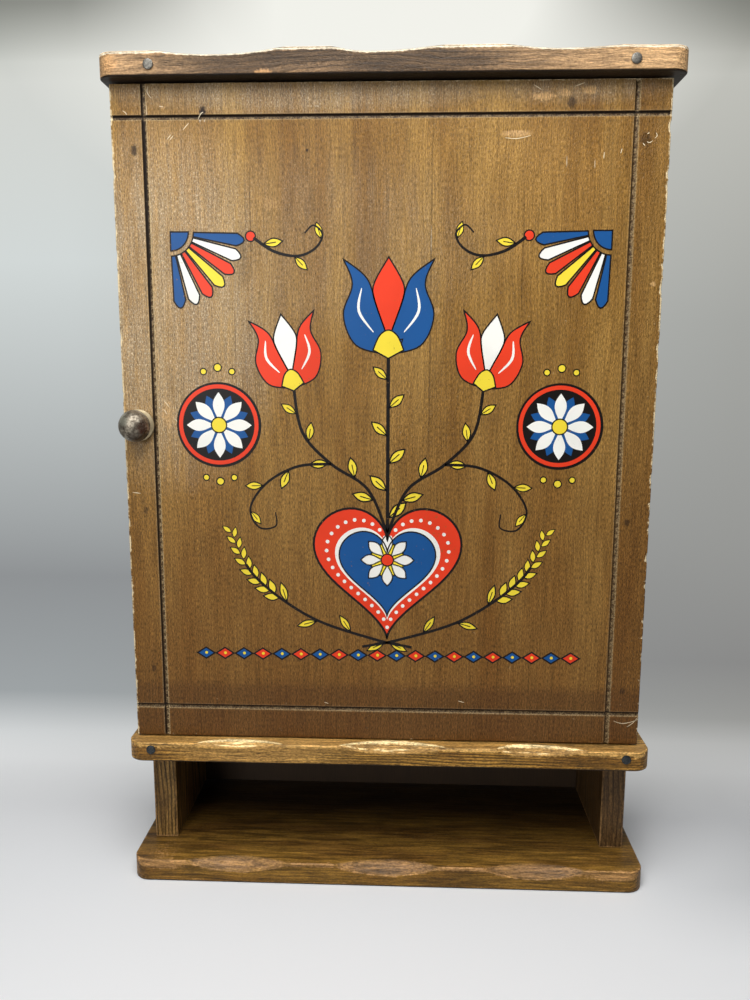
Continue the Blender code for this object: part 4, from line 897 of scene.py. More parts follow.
    vertices = [(x, DOOR_FACE + d, z) for x, d, z in
                zip((grid_x + shift_x).ravel(), depth.ravel(), grid_z.ravel())]
    values = {label: list(grid.ravel()) for label, grid in
              (("wear", wear), ("groove", groove), ("lip", lip), ("soot", soot))}
    rows, columns = grid_x.shape
    faces = []
    for row in range(rows - 1):
        for column in range(columns - 1):
            first = row * columns + column
            faces.append((first, first + columns, first + columns + 1, first + 1))
    border = ([row * columns for row in range(rows)]
              + [(rows - 1) * columns + column for column in range(1, columns)]
              + [row * columns + columns - 1 for row in range(rows - 2, -1, -1)]
              + [column for column in range(columns - 2, 0, -1)])
    ring = border
    rear = DOOR_HIGH.y - DOOR_FACE
    for share in (0.35, 0.65, 0.93, 1):
        following = []
        for index in border:
            x, y, z = vertices[index]
            start = y - DOOR_FACE
            tuck = 0.3 * MM if share == 1 and min(x - left, right - x) < 2 * MM else 0
            vertices.append((x - np.sign(x) * tuck, DOOR_FACE + start + (rear - start) * share, z))
            following.append(len(vertices) - 1)
            for label, grid in values.items():
                grid.append(0.3 if label == "wear" and share < 1 else 0)
        for index in range(len(ring)):
            after = (index + 1) % len(ring)
            faces.append((ring[index], ring[after], following[after], following[index]))
        ring = following
    faces.append(tuple(ring))
    mesh = mesh_from("door_panel_varnished", vertices, faces, values)
    soften(mesh, 40)
    return mesh


def lathe_mesh(name, profile, sides):
    """A closed form turned round Z from a profile of (radius, height) that starts and ends on the axis."""
    vertices = [(0, 0, profile[0][1])]
    for radius, height in profile[1:-1]:
        for step in range(sides):
            turn = 2 * pi * step / sides
            vertices.append((radius * cos(turn), radius * sin(turn), height))
    vertices.append((0, 0, profile[-1][1]))
    last = len(vertices) - 1
    rings = len(profile) - 2
    faces = [(0, 1 + (step + 1) % sides, 1 + step) for step in range(sides)]
    for ring in range(rings - 1):
        base = 1 + ring * sides
        for step in range(sides):
            after = (step + 1) % sides
            faces.append((base + step, base + after, base + sides + after, base + sides + step))
    base = 1 + (rings - 1) * sides
    faces += [(last, base + step, base + (step + 1) % sides) for step in range(sides)]
    mesh = mesh_from(name, vertices, faces)
    soften(mesh, 34)
    return mesh


def jitter(mesh, amount, scale, seed):
    """Small inward dents over a mesh, from smooth seeded waves."""
    chance = np.random.default_rng(seed)
    waves = [(chance.normal(size=3) * scale, chance.uniform(0, 2 * pi)) for _ in range(7)]
    for vertex in mesh.vertices:
        place = np.array(vertex.co)
        swell = sum(sin(float(direction @ place) + phase) for direction, phase in waves) / len(waves)
        vertex.co -= vertex.normal * amount * (0.5 + 0.5 * swell)


def build_knob(material):
    """The domed knob: a turned foot, a waist, a rim band and a dented dome."""
    low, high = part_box("door_knob")
    centre = (low + high) / 2
    outer = (high.x - low.x) / 2
    height = high.y - low.y
    seat = DOOR_FACE - high.y
    rows = ((11.3, 0.4), (11.4, 1.1), (11.2, 1.7), (10.4, 2.2), (8.9, 2.7), (7.4, 3.4), (6.7, 4.2),
            (6.4, 5.2), (6.7, 6.2), (7.6, 7.1), (8.9, 7.8), (10.1, 8.4), (10.8, 8.8), (11.15, 9.2),
            (11.3, 9.7), (11.25, 10.2), (11.05, 10.6), (10.7, 11))
    profile = [(0, seat), (10.8 * MM, seat)] + [(radius * MM, level * MM) for radius, level in rows]
    crown = height + seat - KNOB_BROW
    for step in range(1, 15):
        turn = pi / 2 * step / 15
        profile.append((KNOB_RIM_RADIUS * cos(turn), KNOB_BROW + crown * sin(turn)))
    profile.append((0, KNOB_BROW + crown))
    mesh = lathe_mesh("domed_knob", profile, 72)
    jitter(mesh, 0.22 * MM, 420, 7)
    layer = mesh.attributes.new("polish", "FLOAT", "POINT")
    shine = [min(1, max(0, (4.4 * MM - vertex.co.z) / (1.6 * MM))) for vertex in mesh.vertices]
    layer.data.foreach_set("value", shine)
    place = Matrix.Translation((centre.x - (outer - KNOB_RADIUS) * 0.95, DOOR_FACE, centre.z))
    mesh.transform(place @ Matrix.Rotation(pi / 2, 4, "X"))
    knob = new_piece("domed_knob", mesh, material)
    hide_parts("door_knob")
    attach(knob, "door")


def nail_head_mesh():
    """A round nail's low domed head with hammer dents, on a stub of its shank, the wood's face at 0."""
    profile = [(0, -2 * MM), (1 * MM, -2 * MM), (1 * MM, 0.05 * MM), (3.2 * MM, 0.05 * MM),
               (3.45 * MM, 0.25 * MM), (3.45 * MM, 0.55 * MM), (3.3 * MM, 0.85 * MM)]
    for step in range(1, 6):
        turn = pi / 2 * step / 6
        profile.append((3.1 * MM * cos(turn), 0.9 * MM + 0.35 * MM * sin(turn)))
    profile.append((0, 1.25 * MM))
    mesh = lathe_mesh("nail_head", profile, 28)
    jitter(mesh, 0.12 * MM, 700, 3)
    return mesh


def slotted_screw_mesh():
    """A countersunk wood screw's head with a sawn slot, the plate's face at height 0."""
    profile = [(0, -9.5 * MM), (0.5 * MM, -9 * MM), (1.05 * MM, -7 * MM), (1.1 * MM, -1.75 * MM),
               (2.45 * MM, -0.32 * MM), (2.48 * MM, -0.12 * MM), (2.36 * MM, -0.02 * MM), (1.2 * MM, 0),
               (0, 0)]
    blank = new_piece("screw_blank", lathe_mesh("screw_blank", profile, 28))
    slot = bmesh.new()
    bmesh.ops.create_cube(slot, size=1.0)
    bmesh.ops.scale(slot, vec=(6 * MM, 0.62 * MM, 1.3 * MM), verts=slot.verts)
    slot_mesh = bpy.data.meshes.new("screw_slot")
    slot.to_mesh(slot_mesh)
    slot.free()
    cutter = new_piece("screw_slot", slot_mesh)
    change = blank.modifiers.new("slot", "BOOLEAN")
    change.operation = "DIFFERENCE"
    change.solver = "EXACT"
    change.object = cutter
    bpy.context.view_layer.update()
    mesh = evaluated_mesh(blank, "slotted_screw")
    bpy.data.objects.remove(cutter, do_unlink=True)
    mesh.shade_smooth()
    mesh.set_sharp_from_angle(angle=radians(34))
    return mesh


def build_fasteners(zinc, dark_steel, steel, brass):
    """Nail heads in the boards' fronts, and slotted screws in hinges, catch and plates."""
    head = nail_head_mesh()
    for board, material in (("top", zinc), ("middle", dark_steel)):
        nodes = [f"{board}_nail_left", f"{board}_nail_right"]
        places = []
        for node in nodes:
            low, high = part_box(node)
            places.append(((low.x + high.x) / 2, BOARD_FACE, (low.z + high.z) / 2))
        marks = marks_mesh(board + "_nail_marks", places, [(pi / 2, 0.4, 0), (pi / 2, 1.7, 0)])
        name = board + "_nail_heads"
        nails = new_piece(name, set_on_marks(name, head.copy(), marks, material))
        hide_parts(*nodes)
        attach(nails, "case")

    groups = {("case", "brass"): [], ("door", "brass"): [], ("case", "steel"): [], ("door", "steel"): []}
    for end in ("lower", "upper"):
        for level in ("low", "high"):
            groups["case", "brass"].append((f"{end}_hinge_case_screw_{level}", "front"))
            groups["door", "brass"].append((f"{end}_hinge_door_screw_{level}", "rear"))
    for level in ("low", "high"):
        groups["case", "steel"].append((f"catch_screw_{level}", "right"))
        for side in ("left", "right"):
            groups["case", "steel"].append((f"hanger_screw_{side}_{level}", "rear"))
    groups["door", "steel"].append(("catch_strike_screw", "rear"))
    screw = slotted_screw_mesh()
    chance = np.random.default_rng(SLOT_SEED)
    for (body, metal), members in groups.items():
        places = []
        turns = []
        for node, facing in members:
            low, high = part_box(node)
            place = (low + high) / 2
            spin = Matrix.Rotation(chance.uniform(0, pi), 3, "Z")
            if facing == "right":
                place.x = high.x
                turns.append(Matrix.Rotation(pi / 2, 3, "Y") @ spin)
            else:
                place.y = low.y if facing == "front" else high.y
                tip = pi / 2 if facing == "front" else -pi / 2
                turns.append(Matrix.Rotation(tip, 3, "X") @ spin)
            places.append(place)
        name = f"{body}_{metal}_screws"
        marks = marks_mesh(name + "_marks", places, [tuple(turn.to_euler()) for turn in turns])
        material = brass if metal == "brass" else steel
        screws = new_piece(name, set_on_marks(name, screw.copy(), marks, material))
        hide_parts(*[node for node, _ in members])
        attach(screws, body)


def smooth_line(knots, per=8):
    """A smooth open line through its knots."""
    ends = [knots[0], *knots, knots[-1]]
    line = []
    for index in range(1, len(ends) - 2):
        before, start, end, after = [Vector(ends[index + step]) for step in (-1, 0, 1, 2)]
        for step in range(per):
            t = step / per
            line.append(0.5 * (2 * start + (end - before) * t
                               + (2 * before - 5 * start + 4 * end - after) * t * t
                               + (3 * start - before - 3 * end + after) * t ** 3))
    line.append(Vector(knots[-1]))
    return [(place.x, place.y) for place in line]


def ring_line(centre, radius, sides):
    """Points round a circle."""
    return [(centre[0] + radius * cos(2 * pi * step / sides), centre[1] + radius * sin(2 * pi * step / sides))
            for step in range(sides)]


def heart_line(centre, scale, sides=88):
    """Points round a heart, from its cleft."""
    points = []
    for step in range(sides):
        turn = 2 * pi * step / sides
        up = 13 * cos(turn) - 5 * cos(2 * turn) - 2 * cos(3 * turn) - cos(4 * turn)
        points.append((centre[0] + scale * 16 * sin(turn) ** 3, centre[1] + scale * up))
    return points


def petal_line(length, width, fullness, start):
    """Points round a petal that lies along the first axis from start, pointed at both ends."""
    top = []
    for step in range(13):
        share = step / 12
        belly = sin(pi * share ** (log(0.5) / log(fullness)))
        top.append((start + length * share, width / 2 * belly))
    return top + [(across, -up) for across, up in reversed(top[1:-1])]


def moved_line(points, place, turn, mirror):
    """A shape turned and set at a place, or its mirror image about the door's middle line."""
    hand = -1 if mirror else 1
    out = []
    for across, up in points:
        x = place[0] + across * cos(turn) - up * sin(turn)
        z = place[1] + across * sin(turn) + up * cos(turn)
        out.append((hand * x, z))
    return out


def stroke_sides(line, width, closed):
    """The two edges of a brush stroke along a line; its width is one number, or one for each point."""
    points = [Vector(point) for point in line]
    count = len(points)
    widths = width if isinstance(width, list) else [width] * count
    sides = [[], []]
    for index, point in enumerate(points):
        before = points[index - 1] if closed or index else point
        after = points[(index + 1) % count] if closed or index < count - 1 else point
        inward = (point - before).normalized()
        outward = (after - point).normalized()
        heading = (inward + outward).normalized()
        if heading.length < 0.5:
            heading = outward if outward.length > 0.5 else inward
        across = Vector((-heading.y, heading.x))
        reach = widths[index] / 2 / max(0.5, abs(heading.dot(outward if outward.length > 0.5 else inward)))
        sides[0].append(point + across * reach)
        sides[1].append(point - across * reach)
    return sides


def film_mesh(name, fills, strokes=()):
    """Thin closed films of paint on the door: filled outlines and strokes, each on its own layer."""
    vertices = []
    faces = []

    def level(points, y):
        first = len(vertices)
        vertices.extend((point[0] * MM, y, point[1] * MM) for point in points)
        return first

    for outline, layer in fills:
        count = len(outline)
        front = level(outline, -(FILM_START + FILM_LAYER * layer))
        rear = level(outline, FILM_ROOT)
        for corners in tessellate_polygon([[Vector((across, up, 0)) for across, up in outline]]):
            faces.append(tuple(front + corner for corner in corners))
            faces.append(tuple(rear + corner for corner in reversed(corners)))
        for index in range(count):
            after = (index + 1) % count
            faces.append((front + index, front + after, rear + after, rear + index))
    for line, width, closed, layer in strokes:
        sides = stroke_sides(line, width, closed)
        count = len(line)
        rails = [level(side, y) for y in (-(FILM_START + FILM_LAYER * layer), FILM_ROOT) for side in sides]
        for index in range(count if closed else count - 1):
            after = (index + 1) % count
            for one, other in ((0, 1), (1, 3), (3, 2), (2, 0)):
                faces.append((rails[one] + index, rails[one] + after,
                              rails[other] + after, rails[other] + index))
        if not closed:
            for index in (0, count - 1):
                faces.append(tuple(rails[rail] + index for rail in (0, 1, 3, 2)))
    mesh = mesh_from(name, vertices, faces)
    soften(mesh)
    return mesh


class Print:
    """The door's print while it is drawn: fills, strokes and ready meshes for each ink."""

    def __init__(self, inks):
        self.inks = inks
        self.fills = {colour: [] for colour in inks}
        self.strokes = {colour: [] for colour in inks}
        self.meshes = {colour: [] for colour in inks}

    def fill(self, colour, outline, layer=1, edge=1):
        """A filled shape, with a black outline unless edge is 0."""
        self.fills[colour].append((outline, layer))
        if edge:
            self.strokes["black"].append((outline, edge, True, OUTLINE_LAYER))

    def stroke(self, colour, line, width, layer, closed=False):
        """A brush stroke along a line."""
        self.strokes[colour].append((line, width, closed, layer))

    def along(self, colour, model, line, pitch, lean=0, sizes=(1, 1)):
        """Copies of a small film along a line."""
        name = f"{colour}_run_{len(self.meshes[colour])}"
        self.meshes[colour].append(
            set_along_line(name, model.copy(), line, self.inks[colour], pitch, lean, sizes))

    def on_marks(self, colour, model, places, turns):
        """Copies of a small film on marks."""
        name = f"{colour}_set_{len(self.meshes[colour])}"
        marks = marks_mesh(name + "_marks", [(across * MM, 0, up * MM) for across, up in places],
                           [(0, -turn, 0) for turn in turns])
        self.meshes[colour].append(set_on_marks(name, model.copy(), marks, self.inks[colour]))

    def leaves(self, line, pitch, lean, sizes, length=13, width=5.6):
        """Yellow leaves with a black edge and midrib along a stem, leaning to either side by turns."""
        outline = petal_line(length, width, 0.5, 1)
        leaf = film_mesh("leaf", [(outline, 1)])
        edge = film_mesh("leaf_edge", [], [(outline, 0.85, True, OUTLINE_LAYER),
                                           ([(0, 0), (length * 0.72, 0)], 0.6, False, OUTLINE_LAYER)])
        self.along("yellow", leaf, line, pitch, lean, sizes)
        self.along("black", edge, line, pitch, lean, sizes)

    def tulip(self, outer, inner, root, turn, height, width, mirror=False):
        """A tulip in three petals over a small cup, standing on its root."""
        side = smooth_line([(0, 0), (0.36 * width, 0.10 * height), (0.50 * width, 0.42 * height),
                            (0.40 * width, 0.74 * height), (0.50 * width, height)], 7)
        back = smooth_line([(0.50 * width, height), (0.24 * width, 0.80 * height),
                            (0.13 * width, 0.50 * height), (0, 0.16 * height)], 7)
        petal = side + back[1:-1]
        centre = smooth_line([(0.13 * width, 0.50 * height), (0.17 * width, 0.72 * height),
                              (0, 1.02 * height)], 6)
        centre = [(0, 0.16 * height), *centre]
        centre += [(-across, up) for across, up in reversed(centre[1:-1])]
        cup = smooth_line([(-0.17 * width, 0.05 * height), (-0.10 * width, 0.20 * height), (0, 0.26 * height),
                           (0.10 * width, 0.20 * height), (0.17 * width, 0.05 * height)], 6)
        cup += [(0, -0.04 * height)]
        for colour, shape, layer in ((outer, petal, 2), (outer, [(-a, b) for a, b in petal], 2),
                                     (inner, centre, 1), ("yellow", cup, OUTLINE_LAYER + 1)):
            outline = moved_line(shape, root, turn, mirror)
            self.fills[colour].append((outline, layer))
            self.strokes["black"].append((outline, 1, True, OUTLINE_LAYER + (2 if shape is cup else 0)))
        for hand in (-1, 1):
            vein = smooth_line([(hand * 0.17 * width, 0.24 * height), (hand * 0.33 * width, 0.46 * height),
                                (hand * 0.30 * width, 0.70 * height)], 6)
            widths = [0.5 + 1.3 * sin(pi * index / (len(vein) - 1)) for index in range(len(vein))]
            self.stroke("white", moved_line(vein, root, turn, mirror), widths, 3)

    def finish(self):
        """One plain piece for each ink, on the door's face, each a little out of register."""
        for index, colour in enumerate(self.inks):
            films = [film_mesh(f"{colour}_drawn", self.fills[colour], self.strokes[colour])]
            work = bmesh.new()
            for mesh in films + self.meshes[colour]:
                work.from_mesh(mesh)
            mesh = bpy.data.meshes.new(f"print_in_{colour}_ink")
            work.to_mesh(mesh)
            work.free()
            drift = OUT_OF_REGISTER[index]
            mesh.transform(Matrix.Translation((drift[0] * MM, DOOR_FACE, drift[1] * MM)))
            mesh.shade_smooth()
            mesh.set_sharp_from_angle(angle=radians(30))
            for slot in range(len(mesh.materials) - 1, -1, -1):
                mesh.materials.pop(index=slot)
            piece = new_piece(mesh.name, mesh, self.inks[colour])
            mesh.polygons.foreach_set("material_index", [0] * len(mesh.polygons))
            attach(piece, "door")


def build_print(inks):
    """A folk print in the old hex-sign manner: a heart, a tulip tree, rosettes, fans and a lozenge band."""
    art = Print(inks)

    # The heart, with a band of dots and a daisy in its middle
    art.fill("red", heart_line((0, 247), 3.3), 1, 1.6)
    art.fill("white", heart_line((0, 244.5), 2.36), 2, 0)
    art.fill("blue", heart_line((0, 244), 2.16), 3, 1)
    dots = heart_line((0, 245.6), 2.74, 60)
    art.along("white", film_mesh("dot", [(ring_line((0, 0), 1.35, 12), 4)]), dots + dots[:1], 6.4)
    for turn, colour, reach in ((pi / 8, "yellow", 12.5), (0, "white", 19)):
        petal = petal_line(reach * 0.84, reach * 0.40, 0.6, reach * 0.16)
        turns = [turn + pi / 4 * index for index in range(8)]
        layer = 4 if colour == "yellow" else 5
        places = [(0, 249)] * 8
        art.on_marks(colour, film_mesh("heart_petal", [(petal, layer)]), places, turns)
        art.on_marks("black", film_mesh("heart_petal_edge", [], [(petal, 0.9, True, layer)]), places, turns)
    art.fill("red", ring_line((0, 249), 4.4, 24), OUTLINE_LAYER + 1, 0)
    art.stroke("black", ring_line((0, 249), 4.4, 24), 0.9, OUTLINE_LAYER + 2, True)

    # The tulip tree that grows out of the heart's cleft
    trunk = smooth_line([(0, 264), (0, 300), (0, 345), (0, 396)])
    art.stroke("black", trunk, 2.5, 4)
    art.leaves(trunk[4:], 15.5, 0.85, (1.25, 0.85))
    art.tulip("blue", "red", (0, 394), 0, 64, 62)
    for mirror in (False, True):
        hand = -1 if mirror else 1
        branch = smooth_line([(0, 268), (14, 300), (40, 318), (60, 340), (66, 372)])
        line = moved_line(branch, (0, 0), 0, mirror)
        art.stroke("black", line, 2.1, 4)
        art.leaves(line[6:-5], 14.5, 0.8 * hand, (1.15, 0.85))
        art.tulip("red", "white", (66, 371), -0.16, 50, 46, mirror)
        shoot = smooth_line([(40, 318), (64, 316), (86, 304), (98, 286), (92, 272), (80, 273), (80, 283)])
        line = moved_line(shoot, (0, 0), 0, mirror)
        art.stroke("black", line, [2.1 - 1.2 * k / (len(line) - 1) for k in range(len(line))], 4)
        art.leaves(line[10:26], 13.5, 0.75 * hand, (1.05, 0.75))

        # Rosettes on black grounds
        centre = (hand * 119, 345)
        art.fill("black", ring_line(centre, 30, 56), 0, 0)
        art.stroke("red", ring_line(centre, 26.8, 56), 2.8, 1, True)
        for colour, offset, reach, layer in (("blue", pi / 8, 22, 1), ("white", 0, 23, 2)):
            petal = petal_line(reach * 0.9, reach * 0.36, 0.58, reach * 0.1)
            art.on_marks(colour, film_mesh("star_petal", [(petal, layer)]), [centre] * 8,
                         [offset + pi / 4 * index for index in range(8)])
        art.fill("yellow", ring_line(centre, 5.4, 24), 4, 0)
        art.stroke("black", ring_line(centre, 5.4, 24), 0.9, OUTLINE_LAYER, True)
        for height, sense in ((385, 1), (305, -1)):
            for index in (-1, 0, 1):
                bead = (hand * (119 + index * 10), height - 2.8 * abs(index) * sense)
                art.fill("yellow", ring_line(bead, 2.7 - 0.5 * abs(index), 18), 1, 0.8)

        # Wheat that crosses under the heart
        stalk = smooth_line([(-18, 184), (10, 190), (56, 206), (96, 236), (112, 268)])
        line = moved_line(stalk, (0, 0), 0, mirror)
        art.stroke("black", line[:-6], 2, 4)
        kernel = petal_line(11.5, 5.2, 0.45, 0.6)
        ear = line[20:]
        art.along("yellow", film_mesh("kernel", [(kernel, 2)]), ear, 3.9, 0.55 * hand, (1, 0.62))
        art.along("black", film_mesh("kernel_edge", [], [(kernel, 0.9, True, OUTLINE_LAYER)]), ear, 3.9,
                  0.55 * hand, (1, 0.62))
        art.leaves(line[6:20], 17, 0.7 * hand, (1, 1.1), 14, 4.8)

        # Quarter fans in the upper corners, each with a spray that curls inwards
        corner = (hand * 149, 476)
        start = pi if not mirror else 1.5 * pi
        for index in range(7):
            low = start + pi / 2 * index / 7 + 0.022
            high = start + pi / 2 * (index + 1) / 7 - 0.022
            blade = [(16, high), (16, low)]
            blade += [(46 + 5 * sin(pi * step / 6), low + (high - low) * step / 6) for step in range(7)]
            blade = [(corner[0] + reach * cos(turn), corner[1] + reach * sin(turn)) for reach, turn in blade]
            art.fill(("blue", "white", "red", "yellow", "red", "white", "blue")[index], blade)
        turns = [start + pi / 2 * step / 10 for step in range(11)]
        eye = [(corner[0] + 12.5 * cos(turn), corner[1] + 12.5 * sin(turn)) for turn in turns]
        art.fill("blue", [corner, *eye])
        spray = smooth_line([(92, 472), (78, 463), (62, 460), (50, 465), (45, 474), (51, 480), (57, 475)])
        line = moved_line(spray, (0, 0), 0, mirror)
        art.stroke("black", line, [2.2 - 1.2 * k / (len(line) - 1) for k in range(len(line))], 4)
        art.leaves(line[4:30], 12.5, 0.75 * hand, (1, 0.72))
        art.fill("red", ring_line((hand * 94, 473), 3.4, 20), 3, 0.9)

    # The band of lozenges along the foot
    lozenge = [(-6.4, 0), (0, 4.2), (6.4, 0), (0, -4.2)]
    places = [(-133 + 14 * index, 177.5) for index in range(20)]
    model = film_mesh("lozenge", [(lozenge, 1)])
    edge = film_mesh("lozenge_edge", [], [(lozenge, 1.1, True, OUTLINE_LAYER)])
    seed = film_mesh("seed", [(ring_line((0, 0), 1.1, 12), 3)])
    art.on_marks("blue", model, places[::2], [0] * 10)
    art.on_marks("red", model, places[1::2], [0] * 10)
    art.on_marks("black", edge, places, [0] * 20)
    art.on_marks("yellow", seed, places, [0] * 20)
    art.finish()


def build_scratches(material):
    """Fine scratches and torn fibres where the varnish is gone, most of them near the grooves' crossings."""
    strokes = []
    for knots in SCRATCHES:
        line = smooth_line(knots, 5)
        last = len(line) - 1
        strokes.append((line, [0.14 + 0.36 * sin(pi * index / last) for index in range(len(line))], False, 0))
    mesh = film_mesh("scratches_in_varnish", [], strokes)
    mesh.transform(Matrix.Translation((0, DOOR_FACE, 0)))
    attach(new_piece(mesh.name, mesh, material), "door")


def refinish(node, material):
    """Gives a solid that stays a new finish."""
    slots = NODES[node].data.materials
    slots.clear()
    slots.append(material)


def make_matt_paper():
    """Matt paper, rolled and swept up: near white on the floor, shaded up its sweep, with no shine."""
    material, tree, place = start_material("matt_paper")
    across, deep, up = add(tree, "SeparateXYZ", place).node.outputs
    run = add(tree, "Math ADD", deep, up)
    sides = []
    for shades in SWEEP_SHADES:
        sides.append(add(tree, "ValToRGB", add(tree, "MapRange", run, 0, SWEEP_LENGTH)))
        set_stops(sides[-1], [(position, linear(code)) for position, code in shades])
    wall = add(tree, "Mix RGBA", add(tree, "MapRange", across, -420, 430), *sides)

    # A pool of light high on the wall, and dimmer upper corners
    away = add(tree, "VectorMath SUBTRACT", place, (-40, 0, 860))
    away = add(tree, "VectorMath MULTIPLY", away, (1 / 470, 0, 1 / 330))
    away = add(tree, "VectorMath LENGTH", away, give="Value")
    wall = add(tree, "Mix RGBA", add(tree, "MapRange", away, 1, 0.45, 0, 0.95), wall, "#f5f5ee")
    sideways = add(tree, "MapRange", add(tree, "Math ABSOLUTE", across), 150, 400)
    corner = add(tree, "Math MULTIPLY", add(tree, "MapRange", run, 1195, 1262, 0, 0.78), sideways)
    wall = add(tree, "Mix RGBA", corner, wall, "#777872")

    # The camera, metal and glass see paler paper than the one that lights the cabinet
    path = add(tree, "LightPath").node.outputs
    seen = add(tree, "Math MAXIMUM", path["Is Camera Ray"], path["Is Glossy Ray"])
    seen = add(tree, "Math MAXIMUM", seen, path["Is Transmission Ray"])
    colour = add(tree, "Mix RGBA", seen, "#747678", "#f0f1f2")
    # Painted shadow: the floor darker to the right of the cabinet's foot
    painted_shadow = add(tree, "Math MULTIPLY", add(tree, "MapRange", across, 170, 300, 0, 0.3),
                add(tree, "MapRange", deep, -135, -55))
    colour = add(tree, "Mix RGBA", painted_shadow, colour, "#747474")
    paper = add(tree, "BsdfPrincipled", {"Base Color": colour, "Roughness": 0.85, "Specular IOR Level": 0.2})
    # Up the sweep, what they see glows: an emission of the painted shades and pool of light
    climb = add(tree, "Math MULTIPLY", add(tree, "MapRange", run, 40, 190), seen)
    paper = add(tree, "MixShader", climb, paper, add(tree, "Emission", {"Color": wall, "Strength": 1}))

    # From behind, the camera looks through the paper
    behind = add(tree, "Math MULTIPLY", add(tree, "NewGeometry", give="Backfacing"), path["Is Camera Ray"])
    add(tree, "OutputMaterial", add(tree, "MixShader", behind, paper, add(tree, "BsdfTransparent")))
    return material


def build_stage():
    """A pale swept floor and backdrop, soft lamps above and before the cabinet, and the camera."""
    profile = [(-PAPER_REACH, 0), (-0.4, 0), (SWEEP_START, 0)]
    for step in range(1, 25):
        turn = pi / 2 * step / 24
        profile.append((SWEEP_START + SWEEP_RADIUS * sin(turn), SWEEP_RADIUS * (1 - cos(turn))))
    profile.append((SWEEP_START + SWEEP_RADIUS, PAPER_HEIGHT))
    vertices = [(x, y, z) for x in (-PAPER_REACH, PAPER_REACH) for y, z in profile]
    count = len(profile)
    faces = [(index, count + index, count + index + 1, index + 1) for index in range(count - 1)]
    mesh = mesh_from("swept_backdrop", vertices, faces)
    mesh.shade_smooth()
    new_piece("swept_backdrop", mesh, make_matt_paper())

    lamps = (("overhead_softbox", (-0.10, -0.62, 1.12), (0, -0.05, 0.35), 0.8, 10),
             ("top_softbox", (0.10, -0.36, 1.05), (0, -0.05, 0.25), 0.6, 2.5),
             ("window_softbox", (-0.52, -1.30, 0.54), (-0.14, 0, 0.44), 0.42, 5))
    for name, place, aim, size, power in lamps:
        lamp = bpy.data.lights.new(name, "AREA")
        lamp.shape = "SQUARE"
        lamp.size = size
        lamp.energy = power
        holder = new_piece(name, lamp)
        holder.location = place
        holder.rotation_euler = (Vector(aim) - Vector(place)).to_track_quat("-Z", "Y").to_euler()

    world = bpy.data.worlds.new("studio_air")
    bpy.context.scene.world = world
    world.use_nodes = True
    world.node_tree.nodes.clear()
    air = add(world.node_tree, "Background", {"Color": "#c9ccd0", "Strength": 0.12})
    add(world.node_tree, "OutputWorld", {"Surface": air})

    lens = bpy.data.cameras.new("camera")
    lens.lens = LENS_MM
    lens.sensor_width = 36
    lens.clip_start = 0.01
    camera = new_piece("camera", lens)
    pitch, yaw, roll = CAMERA_TURN
    turn = Matrix.Rotation(yaw, 3, "Z") @ Matrix.Rotation(pitch, 3, "X") @ Matrix.Rotation(roll, 3, "Y")
    right, forward, up = turn.col[0], turn.col[1], turn.col[2]
    facing = Matrix((right, up, -forward)).transposed()
    camera.matrix_world = Matrix.Translation(CAMERA_PLACE) @ facing.to_4x4()
    bpy.context.scene.camera = camera
    bpy.context.scene.view_settings.view_transform = "Standard"


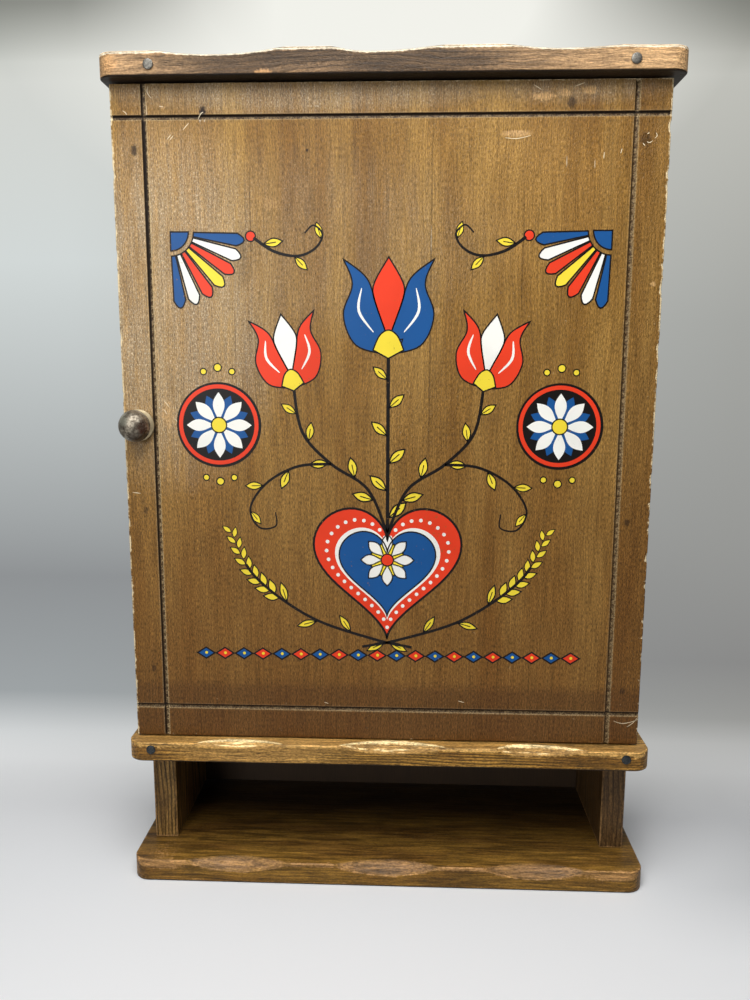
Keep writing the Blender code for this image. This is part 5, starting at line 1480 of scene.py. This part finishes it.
def main():
    """Makes the finishes, dresses the boards, the door and the metal, and builds the stage."""
    top_scrapes = ((-81, 573.8, 7, 2, 0.7, 1.3), (-182, 580, 6, 7, 0.5, 1.2))
    pine_top = make_stained_pine("stained_pine_top_board", "#86694a", "#352719", "#503d29", "#cf9d68",
                                 pith=(0, 60, -640), ring_pitch=3.2, ring_wander=20,
                                 blond=("#d9ae7c", -112, -235, 60, 165), facet="#8a6d4d", facet_share=0.35,
                                 wear_share=0.3, scrapes=top_scrapes, rings=0.62, pitting=0.12, rim="#f1e3c6",
                                 fibre=(0.7, 24), swing=0.3, combed=0.16,
                                 bruises=((-145, 583, 20, 4, 0.45, 1.4), (-55, 584, 44, 8, 0.65, 1.2),
                                          (22, 579, 60, 9, 0.62, 1.2)))
    # The middle board's scrape row is a broad paler patch over its left part
    pine_middle = make_stained_pine("stained_pine_middle_board", "#b5863d", "#3c2a10", "#7f5826", "#ecba6c",
                                    pith=(0, 55, -160), ring_pitch=2.2, facet="#be9456", facet_share=0.9,
                                    wear_share=0.75, scrapes=((-92, 106, 78, 14, 0.35, 0.5),), rings=0.9,
                                    rim="#ffe3a6", highlight_on_every_crest=False, fibre=(0.7, 26), swing=0.42,
                                    combed=0.3)
    pine_bottom = make_stained_pine("stained_pine_bottom_board", "#98702f", "#493115", "#745023", "#cc9a62",
                                    pith=(0, 40, 60), ring_pitch=2.4, facet="#a87f55", facet_share=0.65,
                                    wear_share=0.8, rings=0.35, painted_depth_shade=("#100a05", -70, 24), fibre=(0.8, 20),
                                    swing=0.3, combed=0.42, pitting=0.35,
                                    scrapes=((-170, 13.4, 22, 3.8, 0.8, 1.2), (170, 12.6, 22, 4, 0.8, 1.2)))
    build_board("hewn_top_board", "top_board", (4.9, 15.5, 0, 1.5),
                ((-112, 44, 46, 1), (-12, 27, 50, 0.82), (112, 40, 40, 0.74)), pine_top, 1)
    build_board("hewn_middle_board", "middle_board", (5.6, 10.6, 0.5, 0.4),
                ((-109, 34, 36, 0.75), (5, 42, 41, 1), (102, 23, 46, 0.9)), pine_middle, 2)
    build_board("hewn_bottom_board", "bottom_board", (8.8, 9, 0.6, 0),
                ((-112, 41, 42, 1), (1, 42, 42, 1), (111, 40, 40, 1)), pine_bottom, 3)

    upper = ("#7a5c39", "#45311b", "#5f4428")
    woods = {"upper_side_left": upper, "upper_side_right": upper,
             "lower_side_left": ("#9c7843", "#23170a", "#553b1c"),
             "lower_side_right": ("#6b5030", "#352412", "#553d22")}
    for index, (node, tones) in enumerate(woods.items()):
        wood = make_stained_pine("stained_pine_" + node, *tones, "#b98e5c", grain="Z",
                                 pith=(-140 + 90 * index, -70, 0), box=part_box(node))
        refinish(node, wood)
    hidden = ("#a17b4c", "#6d4c2a", "#8a653c", "#c9a472")
    for index, node in enumerate(("door_stile_left", "door_stile_right")):
        refinish(node, make_stained_pine("stained_pine_" + node, *hidden, grain="Z",
                                         pith=(300 - 600 * index, 60, 0), box=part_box(node)))
    for index, node in enumerate(("door_rail_top", "door_rail_bottom", "lower_shelf", "upper_shelf")):
        refinish(node, make_stained_pine("stained_pine_" + node, *hidden,
                                         pith=(0, 50, -300 - 45 * index), box=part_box(node)))
    backing = make_backing_plywood(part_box("upper_back")[1].y - 1 * MM)
    refinish("upper_back", backing)
    refinish("lower_back", backing)

    plywood = make_door_plywood()
    panel = new_piece("varnished_door_panel", door_mesh(), plywood)
    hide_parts("door_panel")
    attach(panel, "door")
    build_print({colour: make_ink(f"screen_printed_{colour}_enamel", code) for colour, code in INKS.items()})
    build_scratches(make_ink("bared_wood_fibres", "#e6d5b2"))

    low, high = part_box("door_knob")
    knob_x = (low.x + high.x) / 2 / MM
    knob_z = (low.z + high.z) / 2 / MM
    bronze = make_metal("antiqued_cast_bronze", "#4f463b", "#b5ab98", 2.6, 0.38, 0.35, 0.8,
                        # The knob's patches: painted shade low on the dome, rust on the right, pale patina
                        # high on the left
                        tarnish_and_shade=(("#2b2019", (knob_x + 3, knob_z - 6.5, 10, 5.5, 0.75, 1.2)),
                                 ("#4a2413", (knob_x + 6.5, knob_z - 0.5, 3.6, 5, 0.7, 1.4)),
                                 ("#c3c2ae", (knob_x - 5.5, knob_z + 4, 4, 4.5, 0.5, 1.4))))
    zinc = make_metal("weathered_zinc_plate", "#565450", "#8a867d", 0.9, 0.46)
    dark_steel = make_metal("blackened_steel", "#303335", "#4f5253", 0.8, 0.5)
    steel = make_metal("plated_mild_steel", "#7d7f80", "#b4b6b6", 2.5, 0.34, 0.1)
    brass = make_metal("plated_brass", "#8a6a35", "#c9a55c", 3, 0.32, 0.1)
    ferrite = make_metal("sintered_ferrite", "#1d1d20", "#2c2c30", 0.7, 0.6, 0.2, 0)
    build_knob(bronze)
    build_fasteners(zinc, dark_steel, steel, brass)
    for end in ("lower", "upper"):
        for part in ("case_leaf", "door_leaf", "pin"):
            refinish(f"{end}_hinge_{part}", brass)
    for node in ("catch_housing", "catch_strike", "knob_screw", "hanger_plate_left", "hanger_plate_right"):
        refinish(node, steel)
    for board in ("top", "bottom"):
        for side in ("left", "right"):
            for end in ("front", "rear"):
                refinish(f"{board}_case_nail_{side}_{end}", steel)
    refinish("catch_magnet", ferrite)
    build_stage()


main()
